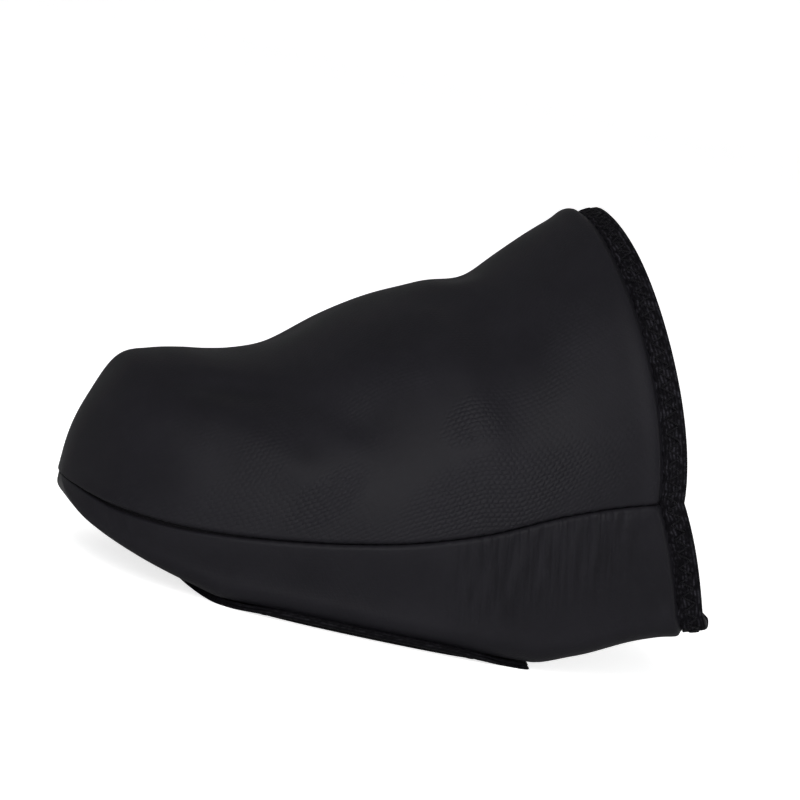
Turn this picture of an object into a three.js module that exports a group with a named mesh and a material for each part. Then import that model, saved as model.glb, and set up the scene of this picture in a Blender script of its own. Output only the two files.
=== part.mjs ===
// Cycling overshoe for the toe half of a left shoe: a hollow cup of thin neoprene foam.
// A domed upper panel and a lower panel with a cleat opening meet at a seam that runs round the toe.
// Folded elastic tape binds the collar and the cleat opening.
// Millimetres. The toe points to -X, the wearer's outer side is -Y, and the floor is z = 0.
import * as THREE from 'three';
import { mergeVertices } from 'three/addons/utils/BufferGeometryUtils.js';

// Driving sizes of the last that the cover is cut on
const coverLength = 141; // toe tip to the rear edge of the strap, along the floor
const ballWidth = 101; // across the ball of the foot, outside the wall
const instepHeight = 102; // crown of the instep over the sole, where the collar would be upright
const seamHeight = 43.6; // panel seam over the sole, at the rear end of the strap
const toeSpring = 15; // toe tip over the sole
const heelLift = 13.4; // rear edge of the strap over the sole, where a heel would raise it

// Driving sizes of the cut
const collarLean = 34; // the collar's top edge lies this far ahead of the strap's rear edge
const collarSweep = 16; // the seam's rear end lies this far ahead of the strap's rear edge
const openingFront = 34; // front edge of the cleat opening, behind the toe tip
const openingLength = 63.5; // cleat opening, front to rear
const openingMargin = 7.5; // underside left between the sole's edge and the cleat opening
const soleEdgeRadius = 5; // round from the side wall to the underside

// Driving sizes of the material
const wall = 3; // neoprene foam with its facings
const boundWall = 1.6; // the same foam pressed flat inside a binding
const tapeWidth = 5; // each leg of the collar's folded tape
const tapeThickness = 0.8; // elastic tape of the collar
const hemWidth = 6.5; // each leg of the cleat opening's hem
const hemThickness = 1.4; // doubled tape under the foot
const clearance = 0.3; // between neighbouring pieces

// Shape of the sections
const archFullness = 2.25; // over the toes: 2 is an ellipse, more is boxier
const collarFullness = 1.9; // over the instep, where the arch is more pointed
const archEase = { from: 0.3, to: 0.75 }; // shares of coverLength between which the arch eases
const collarRise = 1.5; // more brings the collar's crown nearer to a point
const strapBow = 2; // more makes the strap's rear edge flatter under the foot
const sideTuck = 0.05; // share of the half width that the side draws in above the sole
const edgeShare = 0.3; // largest share of the side's height that the sole edge's round takes
const openingSquareness = 5; // 2 is an ellipse, more is nearer a rectangle
const pressLength = 3; // the foam recovers its full wall over this length beside a binding

// How finely the faces are divided
const archColumns = 32;
const archRows = 21;
const strapColumns = { side: 4, round: 4, flat: 4 }; // in each half
const tipRibs = 9;
const undersideRows = 7;

const sole = hemThickness + clearance; // underside of the foam, over the hem that stands on the floor

// Sections of the last, toe to strap. at is a share of coverLength; outer, inner and ridge are
// shares of ballWidth; crown is a share of instepHeight, seam of seamHeight, spring of toeSpring
// and lift of heelLift, all over the sole.
const sections = [
  { at: 0.000, outer: 0.000, inner: 0.000, ridge: 0.00, crown: 0.148, seam: 0.346, spring: 1.00, lift: 0.00 },
  { at: 0.012, outer: 0.080, inner: 0.115, ridge: 0.03, crown: 0.268, seam: 0.333, spring: 0.72, lift: 0.00 },
  { at: 0.030, outer: 0.142, inner: 0.177, ridge: 0.04, crown: 0.334, seam: 0.320, spring: 0.57, lift: 0.00 },
  { at: 0.060, outer: 0.217, inner: 0.247, ridge: 0.05, crown: 0.412, seam: 0.310, spring: 0.44, lift: 0.00 },
  { at: 0.110, outer: 0.292, inner: 0.312, ridge: 0.05, crown: 0.442, seam: 0.310, spring: 0.29, lift: 0.00 },
  { at: 0.160, outer: 0.340, inner: 0.354, ridge: 0.05, crown: 0.456, seam: 0.315, spring: 0.17, lift: 0.00 },
  { at: 0.200, outer: 0.368, inner: 0.378, ridge: 0.05, crown: 0.463, seam: 0.326, spring: 0.08, lift: 0.00 },
  { at: 0.240, outer: 0.393, inner: 0.398, ridge: 0.05, crown: 0.475, seam: 0.340, spring: 0.00, lift: 0.00 },
  { at: 0.290, outer: 0.418, inner: 0.417, ridge: 0.05, crown: 0.503, seam: 0.362, spring: 0.00, lift: 0.00 },
  { at: 0.390, outer: 0.459, inner: 0.449, ridge: 0.05, crown: 0.609, seam: 0.420, spring: 0.00, lift: 0.00 },
  { at: 0.500, outer: 0.487, inner: 0.472, ridge: 0.04, crown: 0.698, seam: 0.505, spring: 0.00, lift: 0.00 },
  { at: 0.600, outer: 0.499, inner: 0.480, ridge: 0.04, crown: 0.767, seam: 0.615, spring: 0.00, lift: 0.00 },
  { at: 0.712, outer: 0.500, inner: 0.477, ridge: 0.04, crown: 0.911, seam: 0.775, spring: 0.00, lift: 0.00 },
  { at: 0.780, outer: 0.495, inner: 0.470, ridge: 0.04, crown: 0.956, seam: 0.852, spring: 0.00, lift: 0.22 },
  { at: 0.880, outer: 0.482, inner: 0.455, ridge: 0.04, crown: 0.972, seam: 0.934, spring: 0.00, lift: 0.65 },
  { at: 1.000, outer: 0.465, inner: 0.432, ridge: 0.04, crown: 1.000, seam: 1.000, spring: 0.00, lift: 1.00 },
];

const sectionColumns = ['outer', 'inner', 'ridge', 'crown', 'seam', 'spring', 'lift'];
// A round nose widens with the square root of the distance from its tip, so the sections are joined
// over that root.
const sectionRoots = sections.map((section) => Math.sqrt(section.at));

// Places round a section, counted as turn: the outer seam is 0, the crown 1/2, the inner seam 1,
// the middle of the underside 3/2 and the outer seam again 2.
const seamTurn = 1;
const wholeTurn = 2;
const underTurn = 1.5;
// Share of the way from a seam to the middle of the underside that the side and its round take
const sideEnd = 0.45;
const roundEnd = 0.7;

// Slopes of a table column at its rows, from the chords on both sides. A level stretch, a peak and
// a hollow are level at their row, so that the flat of the sole stays flat.
function columnSlopes(values, knots) {
  const chords = values.slice(1).map((value, i) => (value - values[i]) / (knots[i + 1] - knots[i]));
  const last = values.length - 1;
  const slopes = values.map((_, i) => {
    if (i === 0 || i === last) return 0;
    if (chords[i - 1] * chords[i] <= 0) return 0;
    const before = knots[i] - knots[i - 1];
    const after = knots[i + 1] - knots[i];
    return (after * chords[i - 1] + before * chords[i]) / (before + after);
  });
  slopes[0] = 1.5 * chords[0] - 0.5 * slopes[1];
  slopes[last] = 1.5 * chords[last - 1] - 0.5 * slopes[last - 1];
  return slopes;
}

const sectionCurves = Object.fromEntries(
  sectionColumns.map((name) => {
    const values = sections.map((section) => section[name]);
    return [name, { values, slopes: columnSlopes(values, sectionRoots) }];
  }),
);

// Value of every table column at a root of the length share, on cubic arcs between the rows
function sectionShares(root) {
  let i = 0;
  while (i < sectionRoots.length - 2 && root > sectionRoots[i + 1]) i += 1;
  const span = sectionRoots[i + 1] - sectionRoots[i];
  const u = (root - sectionRoots[i]) / span;
  const near = (1 + 2 * u) * (1 - u) ** 2;
  const far = u * u * (3 - 2 * u);
  const nearSlope = u * (1 - u) ** 2 * span;
  const farSlope = u * u * (u - 1) * span;
  return Object.fromEntries(
    sectionColumns.map((name) => {
      const { values, slopes } = sectionCurves[name];
      const value = near * values[i] + far * values[i + 1] + nearSlope * slopes[i] + farSlope * slopes[i + 1];
      return [name, value];
    }),
  );
}

// Real sizes of the section at a distance from the toe tip
function sectionAt(run) {
  const way = Math.max(run, 0) / coverLength;
  const share = sectionShares(Math.sqrt(way));
  const eased = smoothStep((way - archEase.from) / (archEase.to - archEase.from));
  return {
    outer: share.outer * ballWidth,
    inner: share.inner * ballWidth,
    ridge: share.ridge * ballWidth,
    crown: sole + share.crown * instepHeight,
    seam: sole + share.seam * seamHeight,
    keel: sole + share.spring * toeSpring + share.lift * heelLift,
    fullness: mix(archFullness, collarFullness, eased),
  };
}

function smoothStep(value) {
  const u = Math.min(Math.max(value, 0), 1);
  return u * u * (3 - 2 * u);
}

function mix(a, b, share) {
  return a + (b - a) * share;
}

// Place of the sole's edge: the half width of the underside on one side, before its round
function soleHalfWidth(section, side) {
  return (side < 0 ? section.outer : section.inner) * (1 - sideTuck);
}

function edgeRadius(section) {
  return Math.min(soleEdgeRadius, edgeShare * (section.seam - section.keel));
}

// The arch over the foot, a superellipse quarter on each side of the ridge
function archPoint(section, turn) {
  const angle = Math.PI * turn;
  const across = Math.cos(angle);
  const reach = across > 0 ? section.outer + section.ridge : section.inner - section.ridge;
  const power = 2 / section.fullness;
  const y = section.ridge - Math.sign(across) * reach * Math.abs(across) ** power;
  const rise = Math.abs(Math.sin(angle)) ** power;
  return { y, z: mix(section.seam, section.crown, rise) };
}

// Below the seam: the side drawing in a little, the round of the sole's edge, the flat underside.
// The share runs from 0 at the seam to 1 at the middle.
function cupPoint(section, side, share) {
  const halfWidth = side < 0 ? section.outer : section.inner;
  const soleEdge = soleHalfWidth(section, side);
  const radius = edgeRadius(section);
  if (share < sideEnd) {
    const down = share / sideEnd;
    const y = mix(halfWidth, soleEdge, smoothStep(down));
    return { y: side * y, z: mix(section.seam, section.keel + radius, down) };
  }
  if (share < roundEnd) {
    const angle = ((share - sideEnd) / (roundEnd - sideEnd)) * (Math.PI / 2);
    const y = soleEdge - radius * (1 - Math.cos(angle));
    return { y: side * y, z: section.keel + radius * (1 - Math.sin(angle)) };
  }
  const inward = (share - roundEnd) / (1 - roundEnd);
  return { y: side * (soleEdge - radius) * (1 - inward), z: section.keel };
}

// Point of the cover's outside, before any pressing by a binding
function outsidePoint(run, turn) {
  const place = ((turn % wholeTurn) + wholeTurn) % wholeTurn;
  const section = sectionAt(run);
  let point;
  if (place <= seamTurn) {
    point = archPoint(section, place);
  } else {
    const side = place < underTurn ? 1 : -1;
    point = cupPoint(section, side, 1 - 2 * Math.abs(place - underTurn));
  }
  return new THREE.Vector3(run, point.y, point.z);
}

const toeFacing = new THREE.Vector3(-1, 0, -0.25).normalize();
const toeBlend = 0.13; // root of the length share within which the directions gather at the tip

// Direction out of the cover, from the chords along and round it
function facing(run, turn) {
  const root = Math.sqrt(Math.max(run, 0) / coverLength);
  const rootStep = 0.004;
  const turnStep = 0.02;
  const lowRoot = Math.max(root - rootStep, rootStep);
  const highRoot = Math.min(Math.max(root, rootStep) + rootStep, 1);
  const middleRun = Math.max(run, coverLength * rootStep ** 2);
  const along = outsidePoint(coverLength * highRoot ** 2, turn)
    .sub(outsidePoint(coverLength * lowRoot ** 2, turn));
  const round = outsidePoint(middleRun, turn + turnStep).sub(outsidePoint(middleRun, turn - turnStep));
  const normal = along.cross(round).normalize();
  return toeFacing.clone().lerp(normal, smoothStep(root / toeBlend)).normalize();
}

// Where the collar cuts each line that runs back from the toe. Round the strap it bows back to the
// middle of the underside.
function collarRun(turn) {
  const seamEnd = coverLength - collarSweep;
  if (turn <= seamTurn) {
    const rise = Math.abs(Math.sin(Math.PI * turn)) ** collarRise;
    return mix(seamEnd, coverLength - collarLean, rise);
  }
  const fromMiddle = 2 * Math.abs(turn - underTurn);
  return mix(seamEnd, coverLength, 1 - fromMiddle ** strapBow);
}

// 1 inside a binding, 0 where the foam has its full wall again
function pressAt(distance, width) {
  return 1 - smoothStep((distance - width) / pressLength);
}

// Point of the foam: depth 0 is its outside and 1 its inside. Inside the collar's tape the foam is
// pressed from both sides, at the cleat opening only from the inside.
function foamPoint(run, turn, depth, openingDistance = Infinity) {
  const pressed = wall - boundWall;
  const collarPress = pressAt(collarRun(turn) - run, tapeWidth);
  const openingPress = Math.max(pressAt(openingDistance, hemWidth) - collarPress, 0);
  const outside = (pressed / 2) * collarPress;
  const inside = wall - outside - pressed * openingPress;
  return outsidePoint(run, turn).addScaledVector(facing(run, turn), -mix(outside, inside, depth));
}

// Turn at a distance from the middle of the underside, measured along the section and on round the
// sole's edge
function undersideTurn(run, side, distance) {
  const section = sectionAt(run);
  const radius = edgeRadius(section);
  const flat = soleHalfWidth(section, side) - radius;
  const around = Math.min((distance - flat) / (radius * (Math.PI / 2)), 1);
  const share = distance <= flat ? mix(1, roundEnd, distance / flat) : mix(roundEnd, sideEnd, around);
  return underTurn - (side * (1 - share)) / 2;
}

// Place on the foam at a distance outside the edge of the cleat opening. Angle 0 is its rear and a
// half turn its front, and its sides follow the sole's edge.
function openingPlace(angle, distance) {
  const power = 2 / openingSquareness;
  const back = Math.sign(Math.cos(angle)) * Math.abs(Math.cos(angle)) ** power;
  const across = Math.abs(Math.sin(angle)) ** power;
  const side = Math.sin(angle) < 0 ? -1 : 1;
  const run = openingFront + openingLength / 2 + (openingLength / 2 + distance) * back;
  const halfWidth = soleHalfWidth(sectionAt(run), side) - openingMargin + distance;
  return { run, turn: undersideTurn(run, side, across * halfWidth) };
}

// Places round the cleat opening, as on a square from the middle of its rear. Places below 0 are on
// the outer side.
const rearCorner = 1;
const sideMiddle = 2;
const frontCorner = 3;
const frontMiddle = 4;

// Angle on the opening's outline at a place, so that even steps of the place make even ribs
function openingAngle(place) {
  const way = Math.abs(place);
  const back = Math.min(Math.max(sideMiddle - way, -1), 1);
  const across = Math.sign(place) * Math.min(way, 1, frontMiddle - way);
  const bend = (value) => Math.sign(value) * Math.abs(value) ** (openingSquareness / 2);
  return Math.atan2(bend(across), bend(back));
}

// Lines across the upper panel, as root shares of the way from the tip to the collar. The last
// ones stand where the foam is pressed by the tape.
function archRoots() {
  const seamEnd = coverLength - collarSweep;
  const first = 0.06;
  const atDistance = (distance) => Math.sqrt(1 - distance / seamEnd);
  const last = atDistance(tapeWidth + pressLength);
  const roots = [0];
  for (let i = 0; i <= archRows; i += 1) roots.push(mix(first, last, i / archRows));
  return [...roots, atDistance(tapeWidth + pressLength / 2), atDistance(tapeWidth), 1];
}

// Distances from a bound edge where the foam or its tape bends
const collarBends = [tapeWidth, tapeWidth + pressLength / 2, tapeWidth + pressLength];
const undersideFlat = openingMargin - soleEdgeRadius;
const hemBends = [0, undersideFlat, (undersideFlat + hemWidth) / 2, hemWidth];

// Turns of the collar's lower edge between the seams, with a step wherever a side, its round or the
// underside ends
function strapTurns() {
  const spread = (from, to, count) => Array.from({ length: count }, (_, i) => mix(from, to, (i + 1) / count));
  const shares = [
    ...spread(0, sideEnd, strapColumns.side),
    ...spread(sideEnd, roundEnd, strapColumns.round),
    ...spread(roundEnd, 1, strapColumns.flat),
  ];
  const inner = shares.map((share) => mix(seamTurn, underTurn, share));
  const outer = shares.slice(0, -1).map((share) => mix(wholeTurn, underTurn, share)).reverse();
  return [...inner, ...outer];
}

// The lower panel is laid out in ribs from its outer edge to the cleat opening. Each rib has its
// place on the outer edge, which is the seam, the toe tip or the collar, and on the opening. Along
// the seam the ribs end where the lines of the upper panel do, so that the two edges run side by
// side. At the toe tip they fan out to the front of the opening.
function ribs() {
  const seamRib = (root, side) => ({
    edge: { run: collarRun(0) * root ** 2, turn: side < 0 ? wholeTurn : seamTurn },
    angle: openingAngle(side * mix(frontCorner, rearCorner, root)),
    onSeam: true,
    crowding: 1,
  });
  const tip = Array.from({ length: tipRibs }, (_, i) => {
    const across = (2 * i) / (tipRibs - 1) - 1;
    const side = across < 0 ? -1 : 1;
    return {
      edge: { run: 0, turn: mix(wholeTurn, seamTurn, (i + 1) / (tipRibs + 1)) },
      angle: openingAngle(side * mix(frontMiddle, frontCorner, Math.abs(across))),
      onSeam: true,
      crowding: 2,
    };
  });
  const turns = strapTurns();
  const strap = turns.map((turn, i) => ({
    edge: { run: collarRun(turn), turn },
    angle: openingAngle(mix(rearCorner, -rearCorner, (i + 1) / (turns.length + 1))),
    onSeam: false,
    crowding: 1,
  }));
  const roots = archRoots().slice(1);
  const outer = [...roots].reverse().map((root) => seamRib(root, -1));
  const inner = roots.map((root) => seamRib(root, 1));
  return [...outer, ...tip, ...inner, ...strap];
}

// Share of the way along a rib, from its outer edge, where a test first finds the place good
function ribShareWhere(alongRib, good) {
  const steps = 400;
  let step = 0;
  while (step < steps && !good(alongRib(step / steps))) step += 1;
  return step / steps;
}

// Places down a rib, each with its distance from the opening once the hem presses the foam. The rib
// starts a clearance under the upper panel, and has a place wherever a binding bends the foam. Crowding
// above 1 draws the places between towards its outer edge.
function ribPlaces(rib) {
  const hemEdge = openingPlace(rib.angle, hemWidth + pressLength);
  const alongRib = (share) => ({
    run: mix(rib.edge.run, hemEdge.run, share),
    turn: mix(rib.edge.turn, hemEdge.turn, share),
  });
  const clearOfSeam = ({ run, turn }) => (
    outsidePoint(run, turn).z <= sectionAt(run).seam - clearance && turn !== seamTurn);
  const first = rib.onSeam ? ribShareWhere(alongRib, clearOfSeam) : 0;
  const bends = collarBends.map((distance) => {
    const share = ribShareWhere(alongRib, ({ run, turn }) => collarRun(turn) - run >= distance);
    return Math.max(first, share);
  });
  const inner = bends[bends.length - 1];
  const middle = Array.from({ length: undersideRows }, (_, i) => (
    mix(inner, 1, ((i + 1) / (undersideRows + 1)) ** rib.crowding)));
  const hem = [hemWidth + pressLength, ...[...hemBends].reverse()];
  return [
    ...[first, ...bends, ...middle].map((share) => ({ ...alongRib(share), distance: Infinity })),
    ...hem.map((distance) => ({ ...openingPlace(rib.angle, distance), distance })),
  ];
}

// Closed body from rings of points. Each ring is an array of vectors, all as long as each other;
// ring follows ring, and the last joins the first.
function bodyFromRings(rings) {
  const positions = [];
  const count = rings[0].length;
  const corner = (i, j) => rings[i % rings.length][j % count];
  for (let i = 0; i < rings.length; i += 1) {
    for (let j = 0; j < count; j += 1) {
      const quad = [corner(i, j), corner(i + 1, j), corner(i + 1, j + 1), corner(i, j + 1)];
      for (const k of [0, 1, 2, 0, 2, 3]) positions.push(...quad[k].toArray());
    }
  }
  return withoutEmptyTriangles(positions);
}

// Merges the corners that coincide and drops the triangles that this leaves without area
function withoutEmptyTriangles(positions) {
  const loose = new THREE.BufferGeometry();
  loose.setAttribute('position', new THREE.Float32BufferAttribute(positions, 3));
  const joined = mergeVertices(loose, 1e-4);
  const corners = joined.index.array;
  const kept = [];
  for (let i = 0; i < corners.length; i += 3) {
    const [a, b, c] = [corners[i], corners[i + 1], corners[i + 2]];
    if (a !== b && b !== c && c !== a) kept.push(a, b, c);
  }
  joined.setIndex(kept);
  joined.computeVertexNormals();
  return joined;
}

function archTurns() {
  return Array.from({ length: archColumns + 1 }, (_, i) => (seamTurn * i) / archColumns);
}

function upperPanel() {
  const turnSteps = archTurns();
  const line = (root, depth) => turnSteps.map((turn) => foamPoint(collarRun(turn) * root ** 2, turn, depth));
  const roots = archRoots();
  const outside = roots.map((root) => line(root, 0));
  const inside = roots.map((root) => line(root, 1)).reverse();
  return shellFromLines([...outside, ...inside]);
}

// Closed body from lines that go over the outside and back over the inside. Their ends are joined
// to close the two long edges.
function shellFromLines(lines) {
  const positions = [];
  const half = lines.length / 2;
  const addQuad = (a, b, c, d) => {
    for (const point of [a, b, c, a, c, d]) positions.push(...point.toArray());
  };
  const columns = lines[0].length - 1;
  for (let i = 0; i < lines.length; i += 1) {
    const next = lines[(i + 1) % lines.length];
    for (let j = 0; j < columns; j += 1) addQuad(lines[i][j], next[j], next[j + 1], lines[i][j + 1]);
  }
  for (let i = 0; i + 1 < half; i += 1) {
    const under = lines[lines.length - 1 - i];
    const underNext = lines[lines.length - 2 - i];
    addQuad(lines[i][0], under[0], underNext[0], lines[i + 1][0]);
    addQuad(lines[i][columns], lines[i + 1][columns], underNext[columns], under[columns]);
  }
  return withoutEmptyTriangles(positions);
}

// The lower panel, rib by rib: over the outside from the seam or collar to the opening, and back
// over the inside
function solePanel() {
  const rings = ribs().map((rib) => {
    const places = ribPlaces(rib);
    const line = (depth) => places.map(({ run, turn, distance }) => foamPoint(run, turn, depth, distance));
    return [...line(0), ...line(1).reverse()];
  });
  return bodyFromRings(rings);
}

// Outline of a tape folded over an edge of the foam, as distances from that edge, positive on the
// foam, and depths under the foam's outside
function foldedTape({ outsideDepth, insideDepth, outerLeg, innerLeg, outerReach, innerReach }) {
  const outerFace = outsideDepth - clearance;
  const innerFace = insideDepth + clearance;
  const outerSkin = outerFace - outerLeg;
  const innerSkin = innerFace + innerLeg;
  const fold = clearance + (outerLeg + innerLeg) / 2;
  const shoulder = 0.75;
  const at = (distance, depth) => ({ distance, depth });
  return [
    ...[...outerReach].reverse().map((distance) => at(distance, outerSkin)),
    at(-fold * shoulder, mix(outerSkin, innerSkin, (1 - shoulder) / 2)),
    at(-fold, (outerSkin + innerSkin) / 2),
    at(-fold * shoulder, mix(innerSkin, outerSkin, (1 - shoulder) / 2)),
    ...innerReach.map((distance) => at(distance, innerSkin)),
    ...[...innerReach.slice(1)].reverse().map((distance) => at(distance, innerFace)),
    at(-clearance, innerFace),
    at(-clearance, outerFace),
    ...outerReach.slice(1).map((distance) => at(distance, outerFace)),
  ];
}

// Point of a tape: past the edge, a distance below 0, it goes straight on from the foam
function tapePoint(placeAt, distance, depth) {
  const place = placeAt(Math.max(distance, 0));
  const point = outsidePoint(place.run, place.turn).addScaledVector(facing(place.run, place.turn), -depth);
  if (distance >= 0) return point;
  const behind = placeAt(clearance);
  const onward = outsidePoint(place.run, place.turn).sub(outsidePoint(behind.run, behind.turn)).normalize();
  return point.addScaledVector(onward, -distance);
}

function collarTurns() {
  return [...archTurns(), ...strapTurns()];
}

function collarBinding() {
  const pressed = (wall - boundWall) / 2;
  const outline = foldedTape({
    outsideDepth: pressed,
    insideDepth: wall - pressed,
    outerLeg: tapeThickness,
    innerLeg: tapeThickness,
    outerReach: [0, tapeWidth],
    innerReach: [0, tapeWidth],
  });
  const rings = collarTurns().reverse().map((turn) => {
    const placeAt = (distance) => ({ run: collarRun(turn) - distance, turn });
    return outline.map(({ distance, depth }) => tapePoint(placeAt, distance, depth));
  });
  return bodyFromRings(rings);
}

function openingBinding() {
  const outline = foldedTape({
    outsideDepth: 0,
    insideDepth: boundWall,
    outerLeg: hemThickness,
    innerLeg: tapeThickness,
    outerReach: hemBends,
    innerReach: hemBends.slice(0, -1),
  });
  const rings = ribs().map((rib) => {
    const placeAt = (distance) => openingPlace(rib.angle, distance);
    return outline.map(({ distance, depth }) => tapePoint(placeAt, distance, depth));
  });
  return bodyFromRings(rings);
}

const material = (color, roughness) => new THREE.MeshStandardMaterial({ color, roughness, metalness: 0 });

const neoprene = () => material(0x1b1b1d, 0.8);
const elasticTape = () => material(0x111113, 0.7);

function piece(name, geometry, surface) {
  const mesh = new THREE.Mesh(geometry, surface);
  mesh.name = name;
  return mesh;
}

const overshoe = new THREE.Group();
overshoe.add(piece('upper_panel', upperPanel(), neoprene()));
overshoe.add(piece('sole_panel', solePanel(), neoprene()));
overshoe.add(piece('collar_binding', collarBinding(), elasticTape()));
overshoe.add(piece('opening_binding', openingBinding(), elasticTape()));

// The part's origin is under the middle of its box
const middle = new THREE.Box3().setFromObject(overshoe).getCenter(new THREE.Vector3());
overshoe.position.set(-middle.x, -middle.y, 0);

export default overshoe;
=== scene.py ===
"""Looks of a left cycling overshoe of the toe cover kind: neoprene foam with taped edges.

The frame holds the four solids of the cover. Each of them has a piece here that stands for it with
its folds, rolled edges and stitches, worked out from the same last. Lengths are metres, +Z is up,
the toe points to -X, the cover's outer side is -Y and the floor is z = 0.
"""

import logging
import math
from dataclasses import dataclass, field, replace
from enum import Enum

import bmesh
import bpy
import numpy as np
from mathutils import Matrix, Vector


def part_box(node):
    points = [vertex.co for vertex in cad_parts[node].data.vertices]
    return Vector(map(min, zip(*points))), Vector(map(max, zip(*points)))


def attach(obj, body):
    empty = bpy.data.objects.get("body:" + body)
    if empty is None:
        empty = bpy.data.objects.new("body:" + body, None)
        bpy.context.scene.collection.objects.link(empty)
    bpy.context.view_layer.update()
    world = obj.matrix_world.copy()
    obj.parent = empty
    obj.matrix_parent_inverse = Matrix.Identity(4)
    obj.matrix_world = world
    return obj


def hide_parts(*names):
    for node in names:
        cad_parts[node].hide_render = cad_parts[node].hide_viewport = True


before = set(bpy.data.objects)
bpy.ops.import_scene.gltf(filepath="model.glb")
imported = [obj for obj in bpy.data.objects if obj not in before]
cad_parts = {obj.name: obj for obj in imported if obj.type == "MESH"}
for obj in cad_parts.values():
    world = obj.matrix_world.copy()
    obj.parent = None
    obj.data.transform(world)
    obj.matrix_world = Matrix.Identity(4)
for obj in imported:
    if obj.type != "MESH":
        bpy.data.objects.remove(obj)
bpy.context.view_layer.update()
UPPER_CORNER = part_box("upper_panel")[0]

log = logging.getLogger("overshoe")

Array = np.ndarray
Pair = tuple[float, float]
Triple = tuple[float, float, float]
Colour = Triple
Materials = list[bpy.types.Material]
Socket = bpy.types.NodeSocket
Sockets = bpy.types.bpy_prop_collection
Pattern = tuple[Socket, Socket]

MM = 0.001
BODY = "root"

# Places round a section, counted as turn: the outer seam is 0, the crown 1/2, the inner seam 1,
# the middle of the underside 3/2 and the outer seam again 2.
SEAM_TURN = 1.0
UNDER_TURN = 1.5
WHOLE_TURN = 2.0

# Places round the cleat opening, as on a square from the middle of its rear
REAR_CORNER = 1.0
SIDE_MIDDLE = 2.0
FRONT_MIDDLE = 4.0

# Least area that a length may be divided by, and how many points are worked out at once
TINY_AREA = 1e-18
POINTS_AT_ONCE = 4000


def smooth_step(value: Array) -> Array:
    """Goes from 0 to 1 as value does, level at both ends."""
    u = np.clip(value, 0.0, 1.0)
    return u * u * (3.0 - 2.0 * u)


def ramp(value: Array, start: float, end: float) -> Array:
    """Goes from 0 to 1 as value goes from start to end, level at both."""
    return smooth_step((value - start) / (end - start))


def mix(start: Array, end: Array, share: Array) -> Array:
    """The value a share of the way from start to end."""
    return start + (end - start) * share


def unit(vectors: Array) -> Array:
    """The vectors at length 1."""
    return vectors / np.linalg.norm(vectors, axis=-1, keepdims=True)


def run_length(points: Array, axis: int = 0) -> Array:
    """Length along lines of points, from their first point, by adding up the chords."""
    steps = np.linalg.norm(np.diff(points, axis=axis), axis=-1)
    start = np.zeros_like(np.take(steps, [0], axis=axis))
    return np.concatenate([start, np.cumsum(steps, axis=axis)], axis=axis)


def distance_to_line(points: Array, line: Array) -> Array:
    """Distance from each point to a line of chords: to each chord's nearest point, then the least.

    Args:
        points: Places, in an array whose last axis is x, y, z.
        line: Corners of the line, one row each.

    Returns:
        Distances in the shape of points without its last axis.
    """
    flat = points.reshape(-1, 3)
    start = line[:-1]
    chord = np.diff(line, axis=0)
    square = np.maximum(np.sum(chord * chord, axis=1), TINY_AREA)
    nearest = np.empty(len(flat))
    for first in range(0, len(flat), POINTS_AT_ONCE):
        batch = slice(first, first + POINTS_AT_ONCE)
        offset = flat[batch, None, :] - start[None]
        share = np.clip(np.sum(offset * chord[None], axis=2) / square, 0.0, 1.0)
        gap = offset - share[..., None] * chord[None]
        nearest[batch] = np.sqrt(np.min(np.sum(gap * gap, axis=2), axis=1))
    return nearest.reshape(points.shape[:-1])


@dataclass(frozen=True)
class Section:
    """Sizes of the last's sections: one array each, over the runs that were asked for."""

    outer: Array
    inner: Array
    ridge: Array
    crown: Array
    seam: Array
    keel: Array
    fullness: Array


@dataclass(frozen=True)
class Station:
    """One row of the table of sections, toe to strap.

    at is a share of the cover's length; outer, inner and ridge are shares of the ball width; crown
    is a share of the instep height, seam of the seam height, spring of the toe spring and lift of
    the heel lift, all over the sole.
    """

    at: float
    outer: float
    inner: float
    ridge: float
    crown: float
    seam: float
    spring: float
    lift: float


STATIONS = (
    Station(0.000, 0.000, 0.000, 0.00, 0.148, 0.346, 1.00, 0.00),
    Station(0.012, 0.080, 0.115, 0.03, 0.268, 0.333, 0.72, 0.00),
    Station(0.030, 0.142, 0.177, 0.04, 0.334, 0.320, 0.57, 0.00),
    Station(0.060, 0.217, 0.247, 0.05, 0.412, 0.310, 0.44, 0.00),
    Station(0.110, 0.292, 0.312, 0.05, 0.442, 0.310, 0.29, 0.00),
    Station(0.160, 0.340, 0.354, 0.05, 0.456, 0.315, 0.17, 0.00),
    Station(0.200, 0.368, 0.378, 0.05, 0.463, 0.326, 0.08, 0.00),
    Station(0.240, 0.393, 0.398, 0.05, 0.475, 0.340, 0.00, 0.00),
    Station(0.290, 0.418, 0.417, 0.05, 0.503, 0.362, 0.00, 0.00),
    Station(0.390, 0.459, 0.449, 0.05, 0.609, 0.420, 0.00, 0.00),
    Station(0.500, 0.487, 0.472, 0.04, 0.698, 0.505, 0.00, 0.00),
    Station(0.600, 0.499, 0.480, 0.04, 0.767, 0.615, 0.00, 0.00),
    Station(0.712, 0.500, 0.477, 0.04, 0.911, 0.775, 0.00, 0.00),
    Station(0.780, 0.495, 0.470, 0.04, 0.956, 0.852, 0.00, 0.22),
    Station(0.880, 0.482, 0.455, 0.04, 0.972, 0.934, 0.00, 0.65),
    Station(1.000, 0.465, 0.432, 0.04, 1.000, 1.000, 0.00, 1.00),
)


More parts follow.
